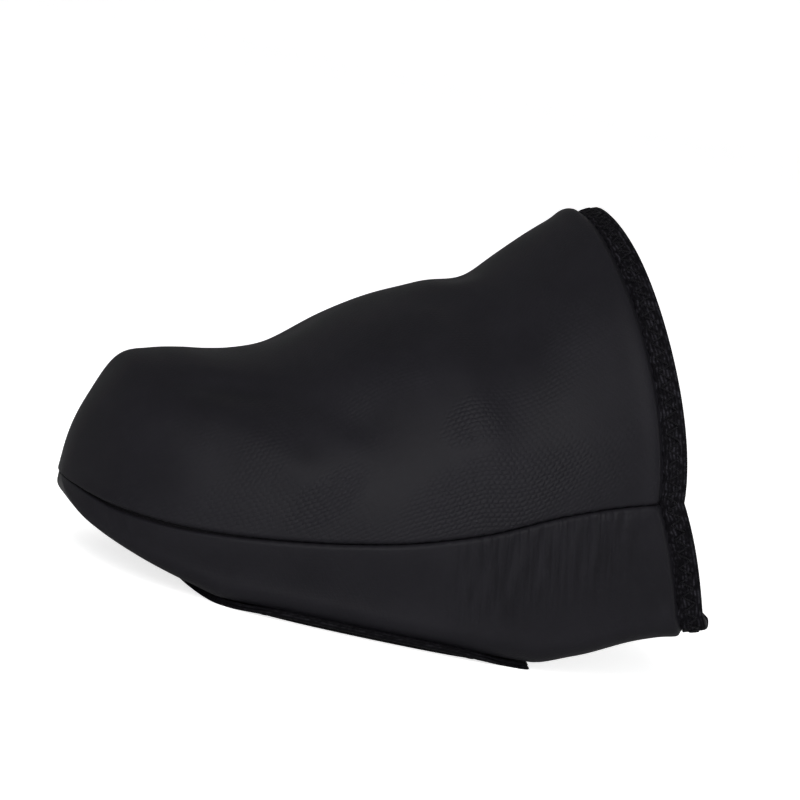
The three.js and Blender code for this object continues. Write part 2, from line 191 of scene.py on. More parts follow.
@dataclass(frozen=True)
class Last:
    """The form that the cover is cut on, with the driving sizes of the part's source."""

    cover_length: float = 141 * MM
    ball_width: float = 101 * MM
    instep_height: float = 102 * MM
    seam_height: float = 43.6 * MM
    toe_spring: float = 15 * MM
    heel_lift: float = 13.4 * MM
    collar_lean: float = 34 * MM
    collar_sweep: float = 16 * MM
    opening_front: float = 34 * MM
    opening_length: float = 63.5 * MM
    opening_margin: float = 7.5 * MM
    sole_edge_radius: float = 5 * MM
    sole: float = 1.7 * MM
    arch_fullness: float = 2.25
    collar_fullness: float = 1.9
    arch_ease: Pair = (0.3, 0.75)
    collar_rise: float = 1.5
    side_tuck: float = 0.05
    edge_share: float = 0.3
    side_end: float = 0.45
    round_end: float = 0.7
    opening_squareness: float = 5
    strap_bow: float = 2.0
    toe_blend: float = 0.13
    toe_facing: Triple = (-1.0, 0.0, -0.25)
    root_step: float = 0.004
    turn_step: float = 0.02

    def section(self, run: Array) -> Section:
        """Sections at distances behind the toe tip, on cubic arcs between the table's rows.

        The arcs run over the root of the length share, because a round nose widens with that root.
        A row that is a peak, a hollow or the end of a level stretch is level.
        """
        rows = np.array([[*vars(station).values()] for station in STATIONS])
        knots = np.sqrt(rows[:, 0])
        values = rows[:, 1:]
        spans = np.diff(knots)
        chords = np.diff(values, axis=0) / spans[:, None]
        slopes = np.zeros_like(values)
        before, after = spans[:-1, None], spans[1:, None]
        inner = (after * chords[:-1] + before * chords[1:]) / (before + after)
        slopes[1:-1] = np.where(chords[:-1] * chords[1:] > 0, inner, 0.0)
        slopes[0] = 1.5 * chords[0] - 0.5 * slopes[1]
        slopes[-1] = 1.5 * chords[-1] - 0.5 * slopes[-2]
        way = np.clip(run / self.cover_length, 0.0, 1.0)
        root = np.sqrt(way)
        i = np.clip(np.searchsorted(knots, root) - 1, 0, len(spans) - 1)
        span = spans[i][..., None]
        u = ((root - knots[i]) / spans[i])[..., None]
        near = (1 + 2 * u) * (1 - u) ** 2 * values[i] + u * (1 - u) ** 2 * span * slopes[i]
        far = u * u * (3 - 2 * u) * values[i + 1] + u * u * (u - 1) * span * slopes[i + 1]
        outer, inner, ridge, crown, seam, spring, lift = np.moveaxis(near + far, -1, 0)
        return Section(
            outer=outer * self.ball_width,
            inner=inner * self.ball_width,
            ridge=ridge * self.ball_width,
            crown=self.sole + crown * self.instep_height,
            seam=self.sole + seam * self.seam_height,
            keel=self.sole + spring * self.toe_spring + lift * self.heel_lift,
            fullness=mix(self.arch_fullness, self.collar_fullness, ramp(way, *self.arch_ease)),
        )

    def edge_radius(self, section: Section) -> Array:
        """Radius of the round from the side to the underside."""
        return np.minimum(self.sole_edge_radius, self.edge_share * (section.seam - section.keel))

    def sole_half_width(self, section: Section, side: Array) -> Array:
        """Half width of the underside on the outer side, -1, or the inner side, 1."""
        return np.where(side < 0, section.outer, section.inner) * (1 - self.side_tuck)

    def arch(self, section: Section, turn: Array) -> tuple[Array, Array]:
        """The arch over the toes and instep: a quarter of a superellipse on each side of the ridge."""
        across, power = np.cos(np.pi * turn), 2 / section.fullness
        reach = np.where(across > 0, section.outer + section.ridge, section.inner - section.ridge)
        y = section.ridge - np.sign(across) * reach * np.abs(across) ** power
        rise = np.abs(np.sin(np.pi * turn)) ** power
        return y, mix(section.seam, section.crown, rise)

    def cup(self, section: Section, turn: Array) -> tuple[Array, Array]:
        """Below the seam: the side draws in a little, then come the round and the flat underside."""
        side = np.where(turn < UNDER_TURN, 1.0, -1.0)
        share = 1 - 2 * np.abs(turn - UNDER_TURN)
        half = np.where(side < 0, section.outer, section.inner)
        edge = self.sole_half_width(section, side)
        radius = self.edge_radius(section)
        down = np.clip(share / self.side_end, 0.0, 1.0)
        corner = np.clip((share - self.side_end) / (self.round_end - self.side_end), 0.0, 1.0)
        inward = np.clip((share - self.round_end) / (1 - self.round_end), 0.0, 1.0)
        angle = corner * math.pi / 2
        y = mix(half, edge, smooth_step(down)) - radius * (1 - np.cos(angle))
        y = y - inward * (edge - radius)
        z = mix(section.seam, section.keel + radius, down) - radius * np.sin(angle)
        return side * y, z

    def outside(self, run: Array, turn: Array) -> Array:
        """Points of the smooth outside of the cover, in the frame's axes."""
        run, turn = np.broadcast_arrays(np.asarray(run, float), np.asarray(turn, float))
        place = np.mod(turn, WHOLE_TURN)
        section = self.section(run)
        arch_y, arch_z = self.arch(section, place)
        cup_y, cup_z = self.cup(section, place)
        above = place <= SEAM_TURN
        x = UPPER_CORNER.x + run
        y = UPPER_CORNER.y + self.ball_width / 2 + np.where(above, arch_y, cup_y)
        return np.stack([x, y, np.where(above, arch_z, cup_z)], axis=-1)

    def facing(self, run: Array, turn: Array) -> Array:
        """Directions out of the cover: the chord along it crossed with the chord round it.

        They gather on one direction at the toe tip, where all the sections meet.
        """
        root_step, turn_step = self.root_step, self.turn_step
        run, turn = np.broadcast_arrays(np.asarray(run, float), np.asarray(turn, float))
        root = np.sqrt(np.maximum(run, 0.0) / self.cover_length)
        low = np.maximum(root - root_step, root_step)
        high = np.minimum(np.maximum(root, root_step) + root_step, 1.0)
        middle = np.maximum(run, self.cover_length * root_step**2)
        ahead = self.outside(self.cover_length * high**2, turn)
        along = ahead - self.outside(self.cover_length * low**2, turn)
        around = self.outside(middle, turn + turn_step) - self.outside(middle, turn - turn_step)
        normal = unit(np.cross(along, around))
        toe = unit(np.array(self.toe_facing))
        return unit(mix(toe, normal, smooth_step(root / self.toe_blend)[..., None]))

    def collar_run(self, turn: Array) -> Array:
        """Where the collar cuts each line that runs back from the toe, bowed back underneath."""
        place = np.mod(turn, WHOLE_TURN)
        seam_end = self.cover_length - self.collar_sweep
        rise = np.abs(np.sin(np.pi * place)) ** self.collar_rise
        above = mix(seam_end, self.cover_length - self.collar_lean, rise)
        from_middle = np.minimum(2 * np.abs(place - UNDER_TURN), 1.0)
        below = mix(seam_end, self.cover_length, 1 - from_middle**self.strap_bow)
        return np.where(place <= SEAM_TURN, above, below)

    def underside_turn(self, run: Array, side: Array, distance: Array) -> Array:
        """Turn at a distance from the middle of the underside, along the section."""
        section = self.section(run)
        radius = self.edge_radius(section)
        flat = self.sole_half_width(section, side) - radius
        around = np.clip((distance - flat) / (radius * math.pi / 2), 0.0, 1.0)
        level = mix(1.0, self.round_end, np.minimum(distance / flat, 1.0))
        share = np.where(distance <= flat, level, mix(self.round_end, self.side_end, around))
        return UNDER_TURN - side * (1 - share) / 2

    def opening_angle(self, place: Array) -> Array:
        """Angles on the opening's outline at places round it, counted as on a square.

        Place 0 is the middle of the rear, 1 its inner corner, 3 the front's inner corner and 4 the
        middle of the front. Places below 0 are on the outer side, and 8 is once round.
        """
        place = np.mod(place + FRONT_MIDDLE, 2 * FRONT_MIDDLE) - FRONT_MIDDLE
        way = np.abs(place)
        back = np.clip(SIDE_MIDDLE - way, -1.0, 1.0)
        across = np.sign(place) * np.minimum(np.minimum(way, 1.0), FRONT_MIDDLE - way)
        power = self.opening_squareness / 2
        bent = [np.sign(value) * np.abs(value) ** power for value in (across, back)]
        return np.arctan2(*bent)

    def opening_place(self, angle: Array, distance: Array) -> tuple[Array, Array]:
        """Run and turn at a distance outside the edge of the cleat opening.

        The outline is a superellipse whose sides follow the sole's edge. Angle 0 is its rear and a
        half turn its front.
        """
        power = 2 / self.opening_squareness
        back = np.sign(np.cos(angle)) * np.abs(np.cos(angle)) ** power
        across = np.abs(np.sin(angle)) ** power
        side = np.where(np.sin(angle) < 0, -1.0, 1.0)
        half_length = self.opening_length / 2
        run = self.opening_front + half_length + (half_length + distance) * back
        reach = self.sole_half_width(self.section(run), side) - self.opening_margin + distance
        return run, self.underside_turn(run, side, across * reach)


@dataclass(frozen=True)
class Fold:
    """A soft trough or ridge along a line over the last, by its places, width and height.

    Each place is a share of the cover's length and a turn. Width is where the fold has fallen off
    to about a third to each side. A height below 0 is a trough.
    """

    places: tuple[Pair, ...]
    width: float
    height: float
    bells_a_leg: int = 12

    def heights(self, last: Last, points: Array) -> Array:
        """Height at points: bells along the line, added up and scaled to the wanted height."""
        stops = np.array(self.places)
        legs = len(stops) - 1
        way = np.linspace(0, legs, self.bells_a_leg * legs + 1)
        share, turn = (np.interp(way, np.arange(len(stops)), column) for column in stops.T)
        line = last.outside(share * last.cover_length, turn)
        steps = np.gradient(run_length(line))
        total = np.zeros(points.shape[:-1])
        for bell, step in zip(line, steps):
            square = np.sum((points - bell) ** 2, axis=-1)
            total += step * np.exp(-square / self.width**2)
        return self.height * total / (math.sqrt(math.pi) * self.width)


# Folds of the upper panel and of the side below it, on the outer side as the photo shows them
OUTER_FOLDS = (
    Fold(
        ((0.138, 0.331), (0.184, 0.331), (0.229, 0.321), (0.274, 0.306), (0.315, 0.273))
        + ((0.356, 0.223), (0.389, 0.171)),
        4.6 * MM,
        -1.3 * MM,
    ),
    Fold(
        ((0.163, 0.261), (0.192, 0.233), (0.227, 0.201), (0.261, 0.168), (0.301, 0.123), (0.344, 0.085)),
        5 * MM,
        0.9 * MM,
    ),
    Fold(((0.380, 0.235), (0.400, 0.200), (0.418, 0.165), (0.428, 0.120)), 6.5 * MM, -0.9 * MM),
    Fold(
        ((0.506, 0.268), (0.526, 0.233), (0.544, 0.191), (0.560, 0.151), (0.576, 0.115)),
        5.6 * MM,
        1.75 * MM,
    ),
    Fold(
        ((0.514, 0.439), (0.528, 0.389), (0.550, 0.349), (0.577, 0.306), (0.596, 0.263)),
        6 * MM,
        -1.5 * MM,
    ),
    Fold(((0.651, 0.213), (0.676, 0.168), (0.692, 0.130), (0.701, 0.100)), 8 * MM, 0.3 * MM),
    Fold(((0.765, 1.983), (0.800, 1.979), (0.835, 1.977)), 0.9 * MM, 0.25 * MM),
    Fold(((0.775, 1.970), (0.800, 1.966), (0.830, 1.964)), 0.9 * MM, 0.22 * MM),
    Fold(((0.832, 1.930), (0.838, 1.895), (0.869, 1.847), (0.902, 1.797)), 1.4 * MM, -0.35 * MM),
    Fold(((0.055, 1.930), (0.060, 1.861), (0.070, 1.800)), 1.2 * MM, 0.3 * MM),
    Fold(((0.075, 1.930), (0.083, 1.861), (0.094, 1.800)), 1.2 * MM, 0.25 * MM),
)

# Troughs that run over the crown, as the outline shows them
CROWN_FOLDS = (
    Fold(((0.300, 0.520), (0.340, 0.550), (0.380, 0.570)), 8 * MM, -0.6 * MM),
    Fold(((0.555, 0.480), (0.576, 0.570), (0.584, 0.640), (0.588, 0.710)), 5.5 * MM, -1.3 * MM),
)

# The inner side, which the photo hides, is finished with the same folds made softer
INNER_SOFTNESS = 0.7


def inner_folds() -> tuple[Fold, ...]:
    """The outer side's folds, mirrored and softer."""
    return tuple(
        Fold(
            tuple((share, np.mod(SEAM_TURN - turn, WHOLE_TURN)) for share, turn in fold.places),
            fold.width,
            fold.height * INNER_SOFTNESS,
        )
        for fold in OUTER_FOLDS
    )


class Panel(Enum):
    """The two panels of foam, with the side of the seam that each lies on."""

    UPPER = 1
    LOWER = -1


@dataclass(frozen=True)
class Foam:
    """The sewn foam: its wall, how the tapes press it, its folds and its rolled seam edges."""

    last: Last = field(default_factory=Last)
    wall: float = 3 * MM
    bound_wall: float = 1.6 * MM
    collar_press: float = 1.25 * MM
    tape_width: float = 5 * MM
    hem_width: float = 6.5 * MM
    tape_turned: float = 0.25
    press_length: float = 1.3 * MM
    bulge: float = 0.25 * MM
    crown_bulge: float = 1.1 * MM
    bulge_place: float = 1.9 * MM
    bulge_width: float = 1.9 * MM
    edge_roll: float = 1.15 * MM
    tip_roll: float = 0.25
    tip_length: float = 9 * MM
    seam_corners: int = 320
    sharp_bend: float = 50.0
    seam_gap: float = 0.12 * MM
    toe_gap: float = 0.55 * MM
    gap_length: float = 3 * MM
    stitch_pitch: float = 2.75 * MM
    stitch_pull: float = 0.35
    lip: float = 0.4 * MM
    lip_width: float = 1.8 * MM
    hollow: float = 1.0 * MM
    hollow_width: float = 3.6 * MM
    lip_fade: Pair = (14 * MM, 48 * MM)
    pinch: float = 0.9 * MM
    pinch_length: float = 9 * MM
    gather_spacing: float = 5.2 * MM
    gather_height: float = 0.12 * MM
    gather_share: Pair = (0.54, 0.62)
    gather_end: Pair = (0.76, 0.85)
    gather_drop: Pair = (9 * MM, 23 * MM)
    gather_start: float = 2.5 * MM
    second_gather: Pair = (0.6, 0.618)
    unevenness: float = 0.12 * MM
    uneven_waves: tuple[tuple[float, float, float, float], ...] = (
        (1 / 4.1, 0.0, 1 / 6.3, 0.0),
        (0.0, 1 / 5.2, -1 / 7.7, 1.3),
        (1 / 9.7, -1 / 8.1, 0.0, 0.4),
        (1 / 13.0, 0.0, 1 / 8.9, math.pi / 2),
    )

    def seam_line(self) -> Array:
        """Corners along the seam, from the outer collar round the toe to the inner collar."""
        run = np.linspace(0, 1, self.seam_corners) ** 2 * self.last.collar_run(np.array(0.0))
        outer = self.last.outside(run, 0.0)
        inner = self.last.outside(run, SEAM_TURN)
        return np.concatenate([outer[::-1], inner[1:]])

    def crown_share(self, turn: Array) -> Array:
        """1 at the crown, falling off to both seams, and 0 below them."""
        above = np.mod(turn, WHOLE_TURN) <= SEAM_TURN
        return np.clip(np.where(above, np.sin(np.pi * turn), 0.0), 0.0, 1.0) ** 3

    def tape_reach(self, turn: Array) -> Array:
        """Width of the collar's tape as it shows, less at the crown, where the edge turns in."""
        return self.tape_width * (1 - self.tape_turned * self.crown_share(turn) ** 3)

    def settle(self, run: Array, turn: Array) -> Array:
        """How far foam and tape stand out from the last: folds, unevenness and the pinched collar.

        The collar draws in towards its crown, and its edge flares out again.
        """
        points = self.last.outside(run, turn)
        height = np.zeros(points.shape[:-1])
        for fold in OUTER_FOLDS + CROWN_FOLDS + inner_folds():
            height += fold.heights(self.last, points)
        waves = [np.sin(points @ np.array(wave[:3]) / MM + wave[3]) for wave in self.uneven_waves]
        height += self.unevenness * (waves[0] * waves[1] + waves[2] * waves[3]) / 2
        behind = self.last.collar_run(turn) - run
        drawn = 1 - smooth_step(behind / self.pinch_length)
        flared = 1 - np.clip(behind / self.tape_width, 0.0, 1.0)
        return height - self.crown_share(turn) * self.pinch * (drawn - flared)

    def gathers(self, run: Array, turn: Array) -> Array:
        """Fine wrinkles down the sides of the strap: two waves along the run that drift apart."""
        section = self.last.section(run)
        points = self.last.outside(run, turn)
        drop = section.seam - points[..., 2]
        share = run / self.last.cover_length
        window = ramp(share, *self.gather_share) * (1 - ramp(share, *self.gather_end))
        depth = smooth_step(drop / self.gather_start) * (1 - ramp(drop, *self.gather_drop))
        phase = 2 * np.pi * run / self.gather_spacing
        lean = drop / self.gather_drop[0]
        height, pace = self.second_gather
        waves = np.cos(phase + lean) + height * np.cos(phase * pace - lean + 1)
        sides = np.abs(np.mod(turn, WHOLE_TURN) - UNDER_TURN) > (1 - self.last.round_end) / 2
        return self.gather_height * window * depth * sides * waves

    def tip_share(self, run: Array) -> Array:
        """Goes up to 1 within a short way of the toe tip."""
        return mix(self.tip_roll, 1.0, smooth_step(run / self.tip_length))

    def toe_share(self, run: Array) -> Array:
        """1 round the toe, where the seam stands open, fading out behind it and at its tip."""
        return self.tip_share(run) * (1 - ramp(run, *self.lip_fade))

    def gap(self, run: Array) -> Array:
        """How far the lower panel's edge lies below the upper panel's, most round the toe."""
        return self.seam_gap + self.toe_gap * self.toe_share(run)

    def relief(self, panel: Panel, run: Array, turn: Array, seam: Array) -> tuple[Array, Array]:
        """How far the outside and the inside of a panel stand out from the last.

        Beside the collar's tape the foam swells. At the toe the upper panel's edge stands over the
        lower panel, which draws in below it. Both edges roll in at the seam on a quarter round,
        which is smaller at the toe tip and drawn in at each stitch behind the toe.
        """
        settled = self.settle(run, turn)
        behind = self.last.collar_run(turn) - run - self.tape_reach(turn)
        swell = mix(self.bulge, self.crown_bulge, self.crown_share(turn))
        swell = swell * np.exp(-(((behind - self.bulge_place) / self.bulge_width) ** 2))
        toe = self.toe_share(run)
        roll = self.edge_roll * self.tip_share(run)
        inside = np.maximum(roll - seam, 0.0)
        pull = self.stitch_pull * (1 - toe) * np.cos(2 * np.pi * run / self.stitch_pitch)
        outside = settled + swell - (1 + pull) * (roll - np.sqrt(roll**2 - inside**2))
        if panel is Panel.UPPER:
            return outside + toe * self.lip * np.exp(-((seam / self.lip_width) ** 2)), settled
        drawn = toe * self.hollow * np.exp(-((seam / self.hollow_width) ** 2))
        return outside - drawn + self.gathers(run, turn), settled - drawn

    def faces(self, panel: Panel, run: Array, turn: Array, opening: Array) -> tuple[Array, Array]:
        """Points of a panel's outside and inside.

        Args:
            panel: Which panel the points are on.
            run: Distances behind the toe tip.
            turn: Places round the section.
            opening: Distances from the edge of the cleat opening.

        Returns:
            The outside points and the inside points.
        """
        points = self.last.outside(run, turn)
        normal = self.last.facing(run, turn)
        seam = distance_to_line(points, self.seam_line())
        behind = self.last.collar_run(turn) - run - self.tape_reach(turn)
        collar = 1 - smooth_step(behind / self.press_length)
        hem = 1 - smooth_step((opening - self.hem_width) / self.press_length)
        hem = np.maximum(hem - collar, 0.0)
        outside, inside = self.relief(panel, run, turn, seam)
        top = outside - self.collar_press * collar
        spare = self.wall - self.bound_wall
        bottom = inside - self.wall + (spare - self.collar_press) * collar + spare * hem
        if panel is Panel.LOWER:
            points[..., 2] -= self.gap(run) * (1 - smooth_step(seam / self.gap_length))
        return points + normal * top[..., None], points + normal * bottom[..., None]


@dataclass
class Skin:
    """Faces of a mesh in the making: points, quads, texture places and which finish each has."""

    points: list[Array] = field(default_factory=list)
    quads: list[Array] = field(default_factory=list)
    places: list[Array] = field(default_factory=list)
    finishes: list[Array] = field(default_factory=list)
    count: int = 0
    join_distance: float = 1e-7
    least_edge: float = 1e-8

    def add_grid(self, grid: Array, place: Array, finish: int = 0, flip: bool = False) -> None:
        """Adds a sheet of quads over a grid of points.

        Args:
            grid: Points, rows by columns by x, y, z.
            place: Texture place of each point, in metres.
            finish: Number of the finish among the piece's materials.
            flip: Whether the sheet faces the other way.
        """
        rows, columns = grid.shape[:2]
        index = self.count + np.arange(rows * columns).reshape(rows, columns)
        corners = [index[:-1, :-1], index[1:, :-1], index[1:, 1:], index[:-1, 1:]]
        quads = np.stack(corners[::-1] if flip else corners, axis=-1).reshape(-1, 4)
        self.points.append(grid.reshape(-1, 3))
        self.places.append(np.broadcast_to(place, (rows, columns, 2)).reshape(-1, 2))
        self.quads.append(quads)
        self.finishes.append(np.full(len(quads), finish))
        self.count += rows * columns

    def build(self, name: str, materials: Materials, sharp: float) -> bpy.types.Object:
        """Makes the object: joins the corners that coincide and shades it smooth.

        Args:
            name: Name of the object and its mesh.
            materials: The finishes, in the order of their numbers.
            sharp: Edges that bend by more than this many degrees stay sharp.

        Returns:
            The object, linked to the scene.
        """
        quads = np.concatenate(self.quads)
        mesh = bpy.data.meshes.new(name)
        mesh.from_pydata(np.concatenate(self.points).tolist(), [], quads.tolist())
        texture = mesh.uv_layers.new(name="UVMap")
        texture.data.foreach_set("uv", np.concatenate(self.places)[quads.ravel()].ravel())
        mesh.polygons.foreach_set("material_index", np.concatenate(self.finishes))
        work = bmesh.new()
        work.from_mesh(mesh)
        bmesh.ops.remove_doubles(work, verts=work.verts, dist=self.join_distance)
        bmesh.ops.dissolve_degenerate(work, dist=self.least_edge, edges=work.edges)
        work.to_mesh(mesh)
        work.free()
        mesh.polygons.foreach_set("use_smooth", np.ones(len(mesh.polygons), bool))
        mesh.set_sharp_from_angle(angle=math.radians(sharp))
        mesh.update()
        for material in materials:
            mesh.materials.append(material)
        piece = bpy.data.objects.new(name, mesh)
        bpy.context.scene.collection.objects.link(piece)
        return piece

    def hand_over(
        self, name: str, materials: Materials, slot: str, *nodes: str, sharp: float = 80.0
    ) -> bpy.types.Object:
        """Makes the piece, puts it on the body, hides the solids that it stands for, and logs it.

        Args:
            name: Name of the piece.
            materials: The finishes, in the order of their numbers.
            slot: What the piece is made of; not used.
            nodes: The solids that it stands for.
            sharp: Edges that bend by more than this many degrees stay sharp.

        Returns:
            The piece.
        """
        piece = self.build(name, materials, sharp)
        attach(piece, BODY)
        if nodes:
            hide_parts(*nodes)
        triangles = sum(len(face.vertices) - 2 for face in piece.data.polygons)
        log.info("%s: %d triangles, for %s", name, triangles, ", ".join(nodes) or "no solid")
        return piece


class NodeSheet:
    """A node tree with short ways to add nodes and join them."""

    def __init__(self, tree: bpy.types.NodeTree) -> None:
        """Keeps the tree that the nodes go into."""
        self.tree = tree

    def add(self, kind: str, **options: object) -> bpy.types.Node:
        """Adds a node of a kind and sets its options."""
        node = self.tree.nodes.new(kind)
        for name, value in options.items():
            setattr(node, name, value)
        return node

    def feed(self, socket: Socket, value: object) -> None:
        """Joins a socket to another, or gives it a value."""
        if isinstance(value, Socket):
            self.tree.links.new(value, socket)
        else:
            socket.default_value = value

    def math(self, operation: str, *values: object) -> Socket:
        """A Math node over one to three values."""
        node = self.add("ShaderNodeMath", operation=operation)
        for socket, value in zip(node.inputs, values):
            self.feed(socket, value)
        return node.outputs[0]

    def noise(self, vector: Socket, scale: object, detail: float = 2.0) -> Socket:
        """Noise from 0 to 1 at a scale in grains a metre."""
        node = self.add("ShaderNodeTexNoise")
        for name, value in (("Vector", vector), ("Scale", scale), ("Detail", detail)):
            self.feed(node.inputs[name], value)
        return node.outputs["Fac"]

    def wave(self, length: Socket, pitch: object) -> Socket:
        """A sine along a length, once a pitch, from 0 to 1."""
        turns = self.math("MULTIPLY", self.math("DIVIDE", length, pitch), 2 * math.pi)
        return self.math("MULTIPLY_ADD", self.math("SINE", turns), 0.5, 0.5)

    def hump(self, share: Socket) -> Socket:
        """The round of half a sine over a share from 0 to 1."""
        return self.math("SINE", self.math("MULTIPLY", share, math.pi))

    def parts(self, vector: Socket) -> tuple[Socket, Socket]:
        """The first two coordinates of a place."""
        node = self.add("ShaderNodeSeparateXYZ")
        self.feed(node.inputs[0], vector)
        return node.outputs["X"], node.outputs["Y"]

    def blend(self, share: Socket, low: Colour, high: Colour) -> Socket:
        """A colour between two, by a share."""
        node = self.add("ShaderNodeMix", data_type="RGBA")
        self.feed(node.inputs["Factor"], share)
        self.feed(node.inputs["A"], (*low, 1.0))
        self.feed(node.inputs["B"], (*high, 1.0))
        return node.outputs["Result"]

    def fade(self, value: Socket, start: float, end: float) -> Socket:
        """Goes from 0 to 1 as the value goes from start to end, level at both."""
        node = self.add("ShaderNodeMapRange", interpolation_type="SMOOTHSTEP")
        for name, setting in (("Value", value), ("From Min", start), ("From Max", end)):
            self.feed(node.inputs[name], setting)
        return node.outputs["Result"]

    def bump(self, height: Socket, depth: float, below: Socket | None = None) -> Socket:
        """A Bump node of a real depth, over another bump if there is one."""
        node = self.add("ShaderNodeBump")
        self.feed(node.inputs["Height"], height)
        node.inputs["Distance"].default_value = depth
        node.inputs["Strength"].default_value = 1.0
        if below is not None:
            self.feed(node.inputs["Normal"], below)
        return node.outputs["Normal"]

    def group(self, tree: bpy.types.NodeTree, **values: object) -> Sockets:
        """Places a group, feeds its inputs by their names in small letters, and gives its outputs."""
        node = self.add("ShaderNodeGroup", node_tree=tree)
        for name, value in values.items():
            self.feed(node.inputs[name.title()], value)
        return node.outputs


class GroupSheet(NodeSheet):
    """A node group in the making, which works from a place."""

    def __init__(self, name: str, sizes: tuple[str, ...], outputs: tuple[str, ...]) -> None:
        """Makes the group and its sockets.

        Args:
            name: Name of the group.
            sizes: Names of the inputs beside the place.
            outputs: Names of the value outputs.
        """
        super().__init__(bpy.data.node_groups.new(name, "ShaderNodeTree"))
        sockets = self.tree.interface
        sockets.new_socket("Place", in_out="INPUT", socket_type="NodeSocketVector")
        for direction, labels in (("INPUT", sizes), ("OUTPUT", outputs)):
            for label in labels:
                sockets.new_socket(label, in_out=direction, socket_type="NodeSocketFloat")
        self.entry = self.add("NodeGroupInput").outputs
        self.leave = self.add("NodeGroupOutput").inputs


@dataclass(frozen=True)
class GlintPatch:
    """An oval on the foam, where the key light's highlight falls, in which the knit shows: deeper stitch
    relief, and stitch tops painted lighter as a painted glint.

    Its middle is a length behind the toe and a length round from the crown, on both sides. Its
    edge fades over a range of the squared distance, counted in half sizes.
    """

    along: float
    around: float
    half_length: float
    half_width: float
    edge: Pair = (1.5, 0.3)

    def window(self, sheet: NodeSheet, along: Socket, around: Socket) -> Socket:
        """1 in the oval and 0 outside it, by the squared distance in half sizes."""
        squares = []
        for at, middle, half in (
            (along, self.along, self.half_length),
            (around, self.around, self.half_width),
        ):
            share = sheet.math("DIVIDE", sheet.math("SUBTRACT", at, middle), half)
            squares.append(sheet.math("MULTIPLY", share, share))
        return sheet.fade(sheet.math("ADD", *squares), *self.edge)


# Ovals near the seam under the ball and the vamp, where the key light's highlight falls: the knit shows
# there, its stitch tops painted lighter as a painted glint
GLINT_PATCHES = (
    GlintPatch(109 * MM, 71 * MM, 21 * MM, 9 * MM),
    GlintPatch(103 * MM, 56 * MM, 7 * MM, 6 * MM),
    GlintPatch(72 * MM, 60.5 * MM, 9 * MM, 6 * MM),
)


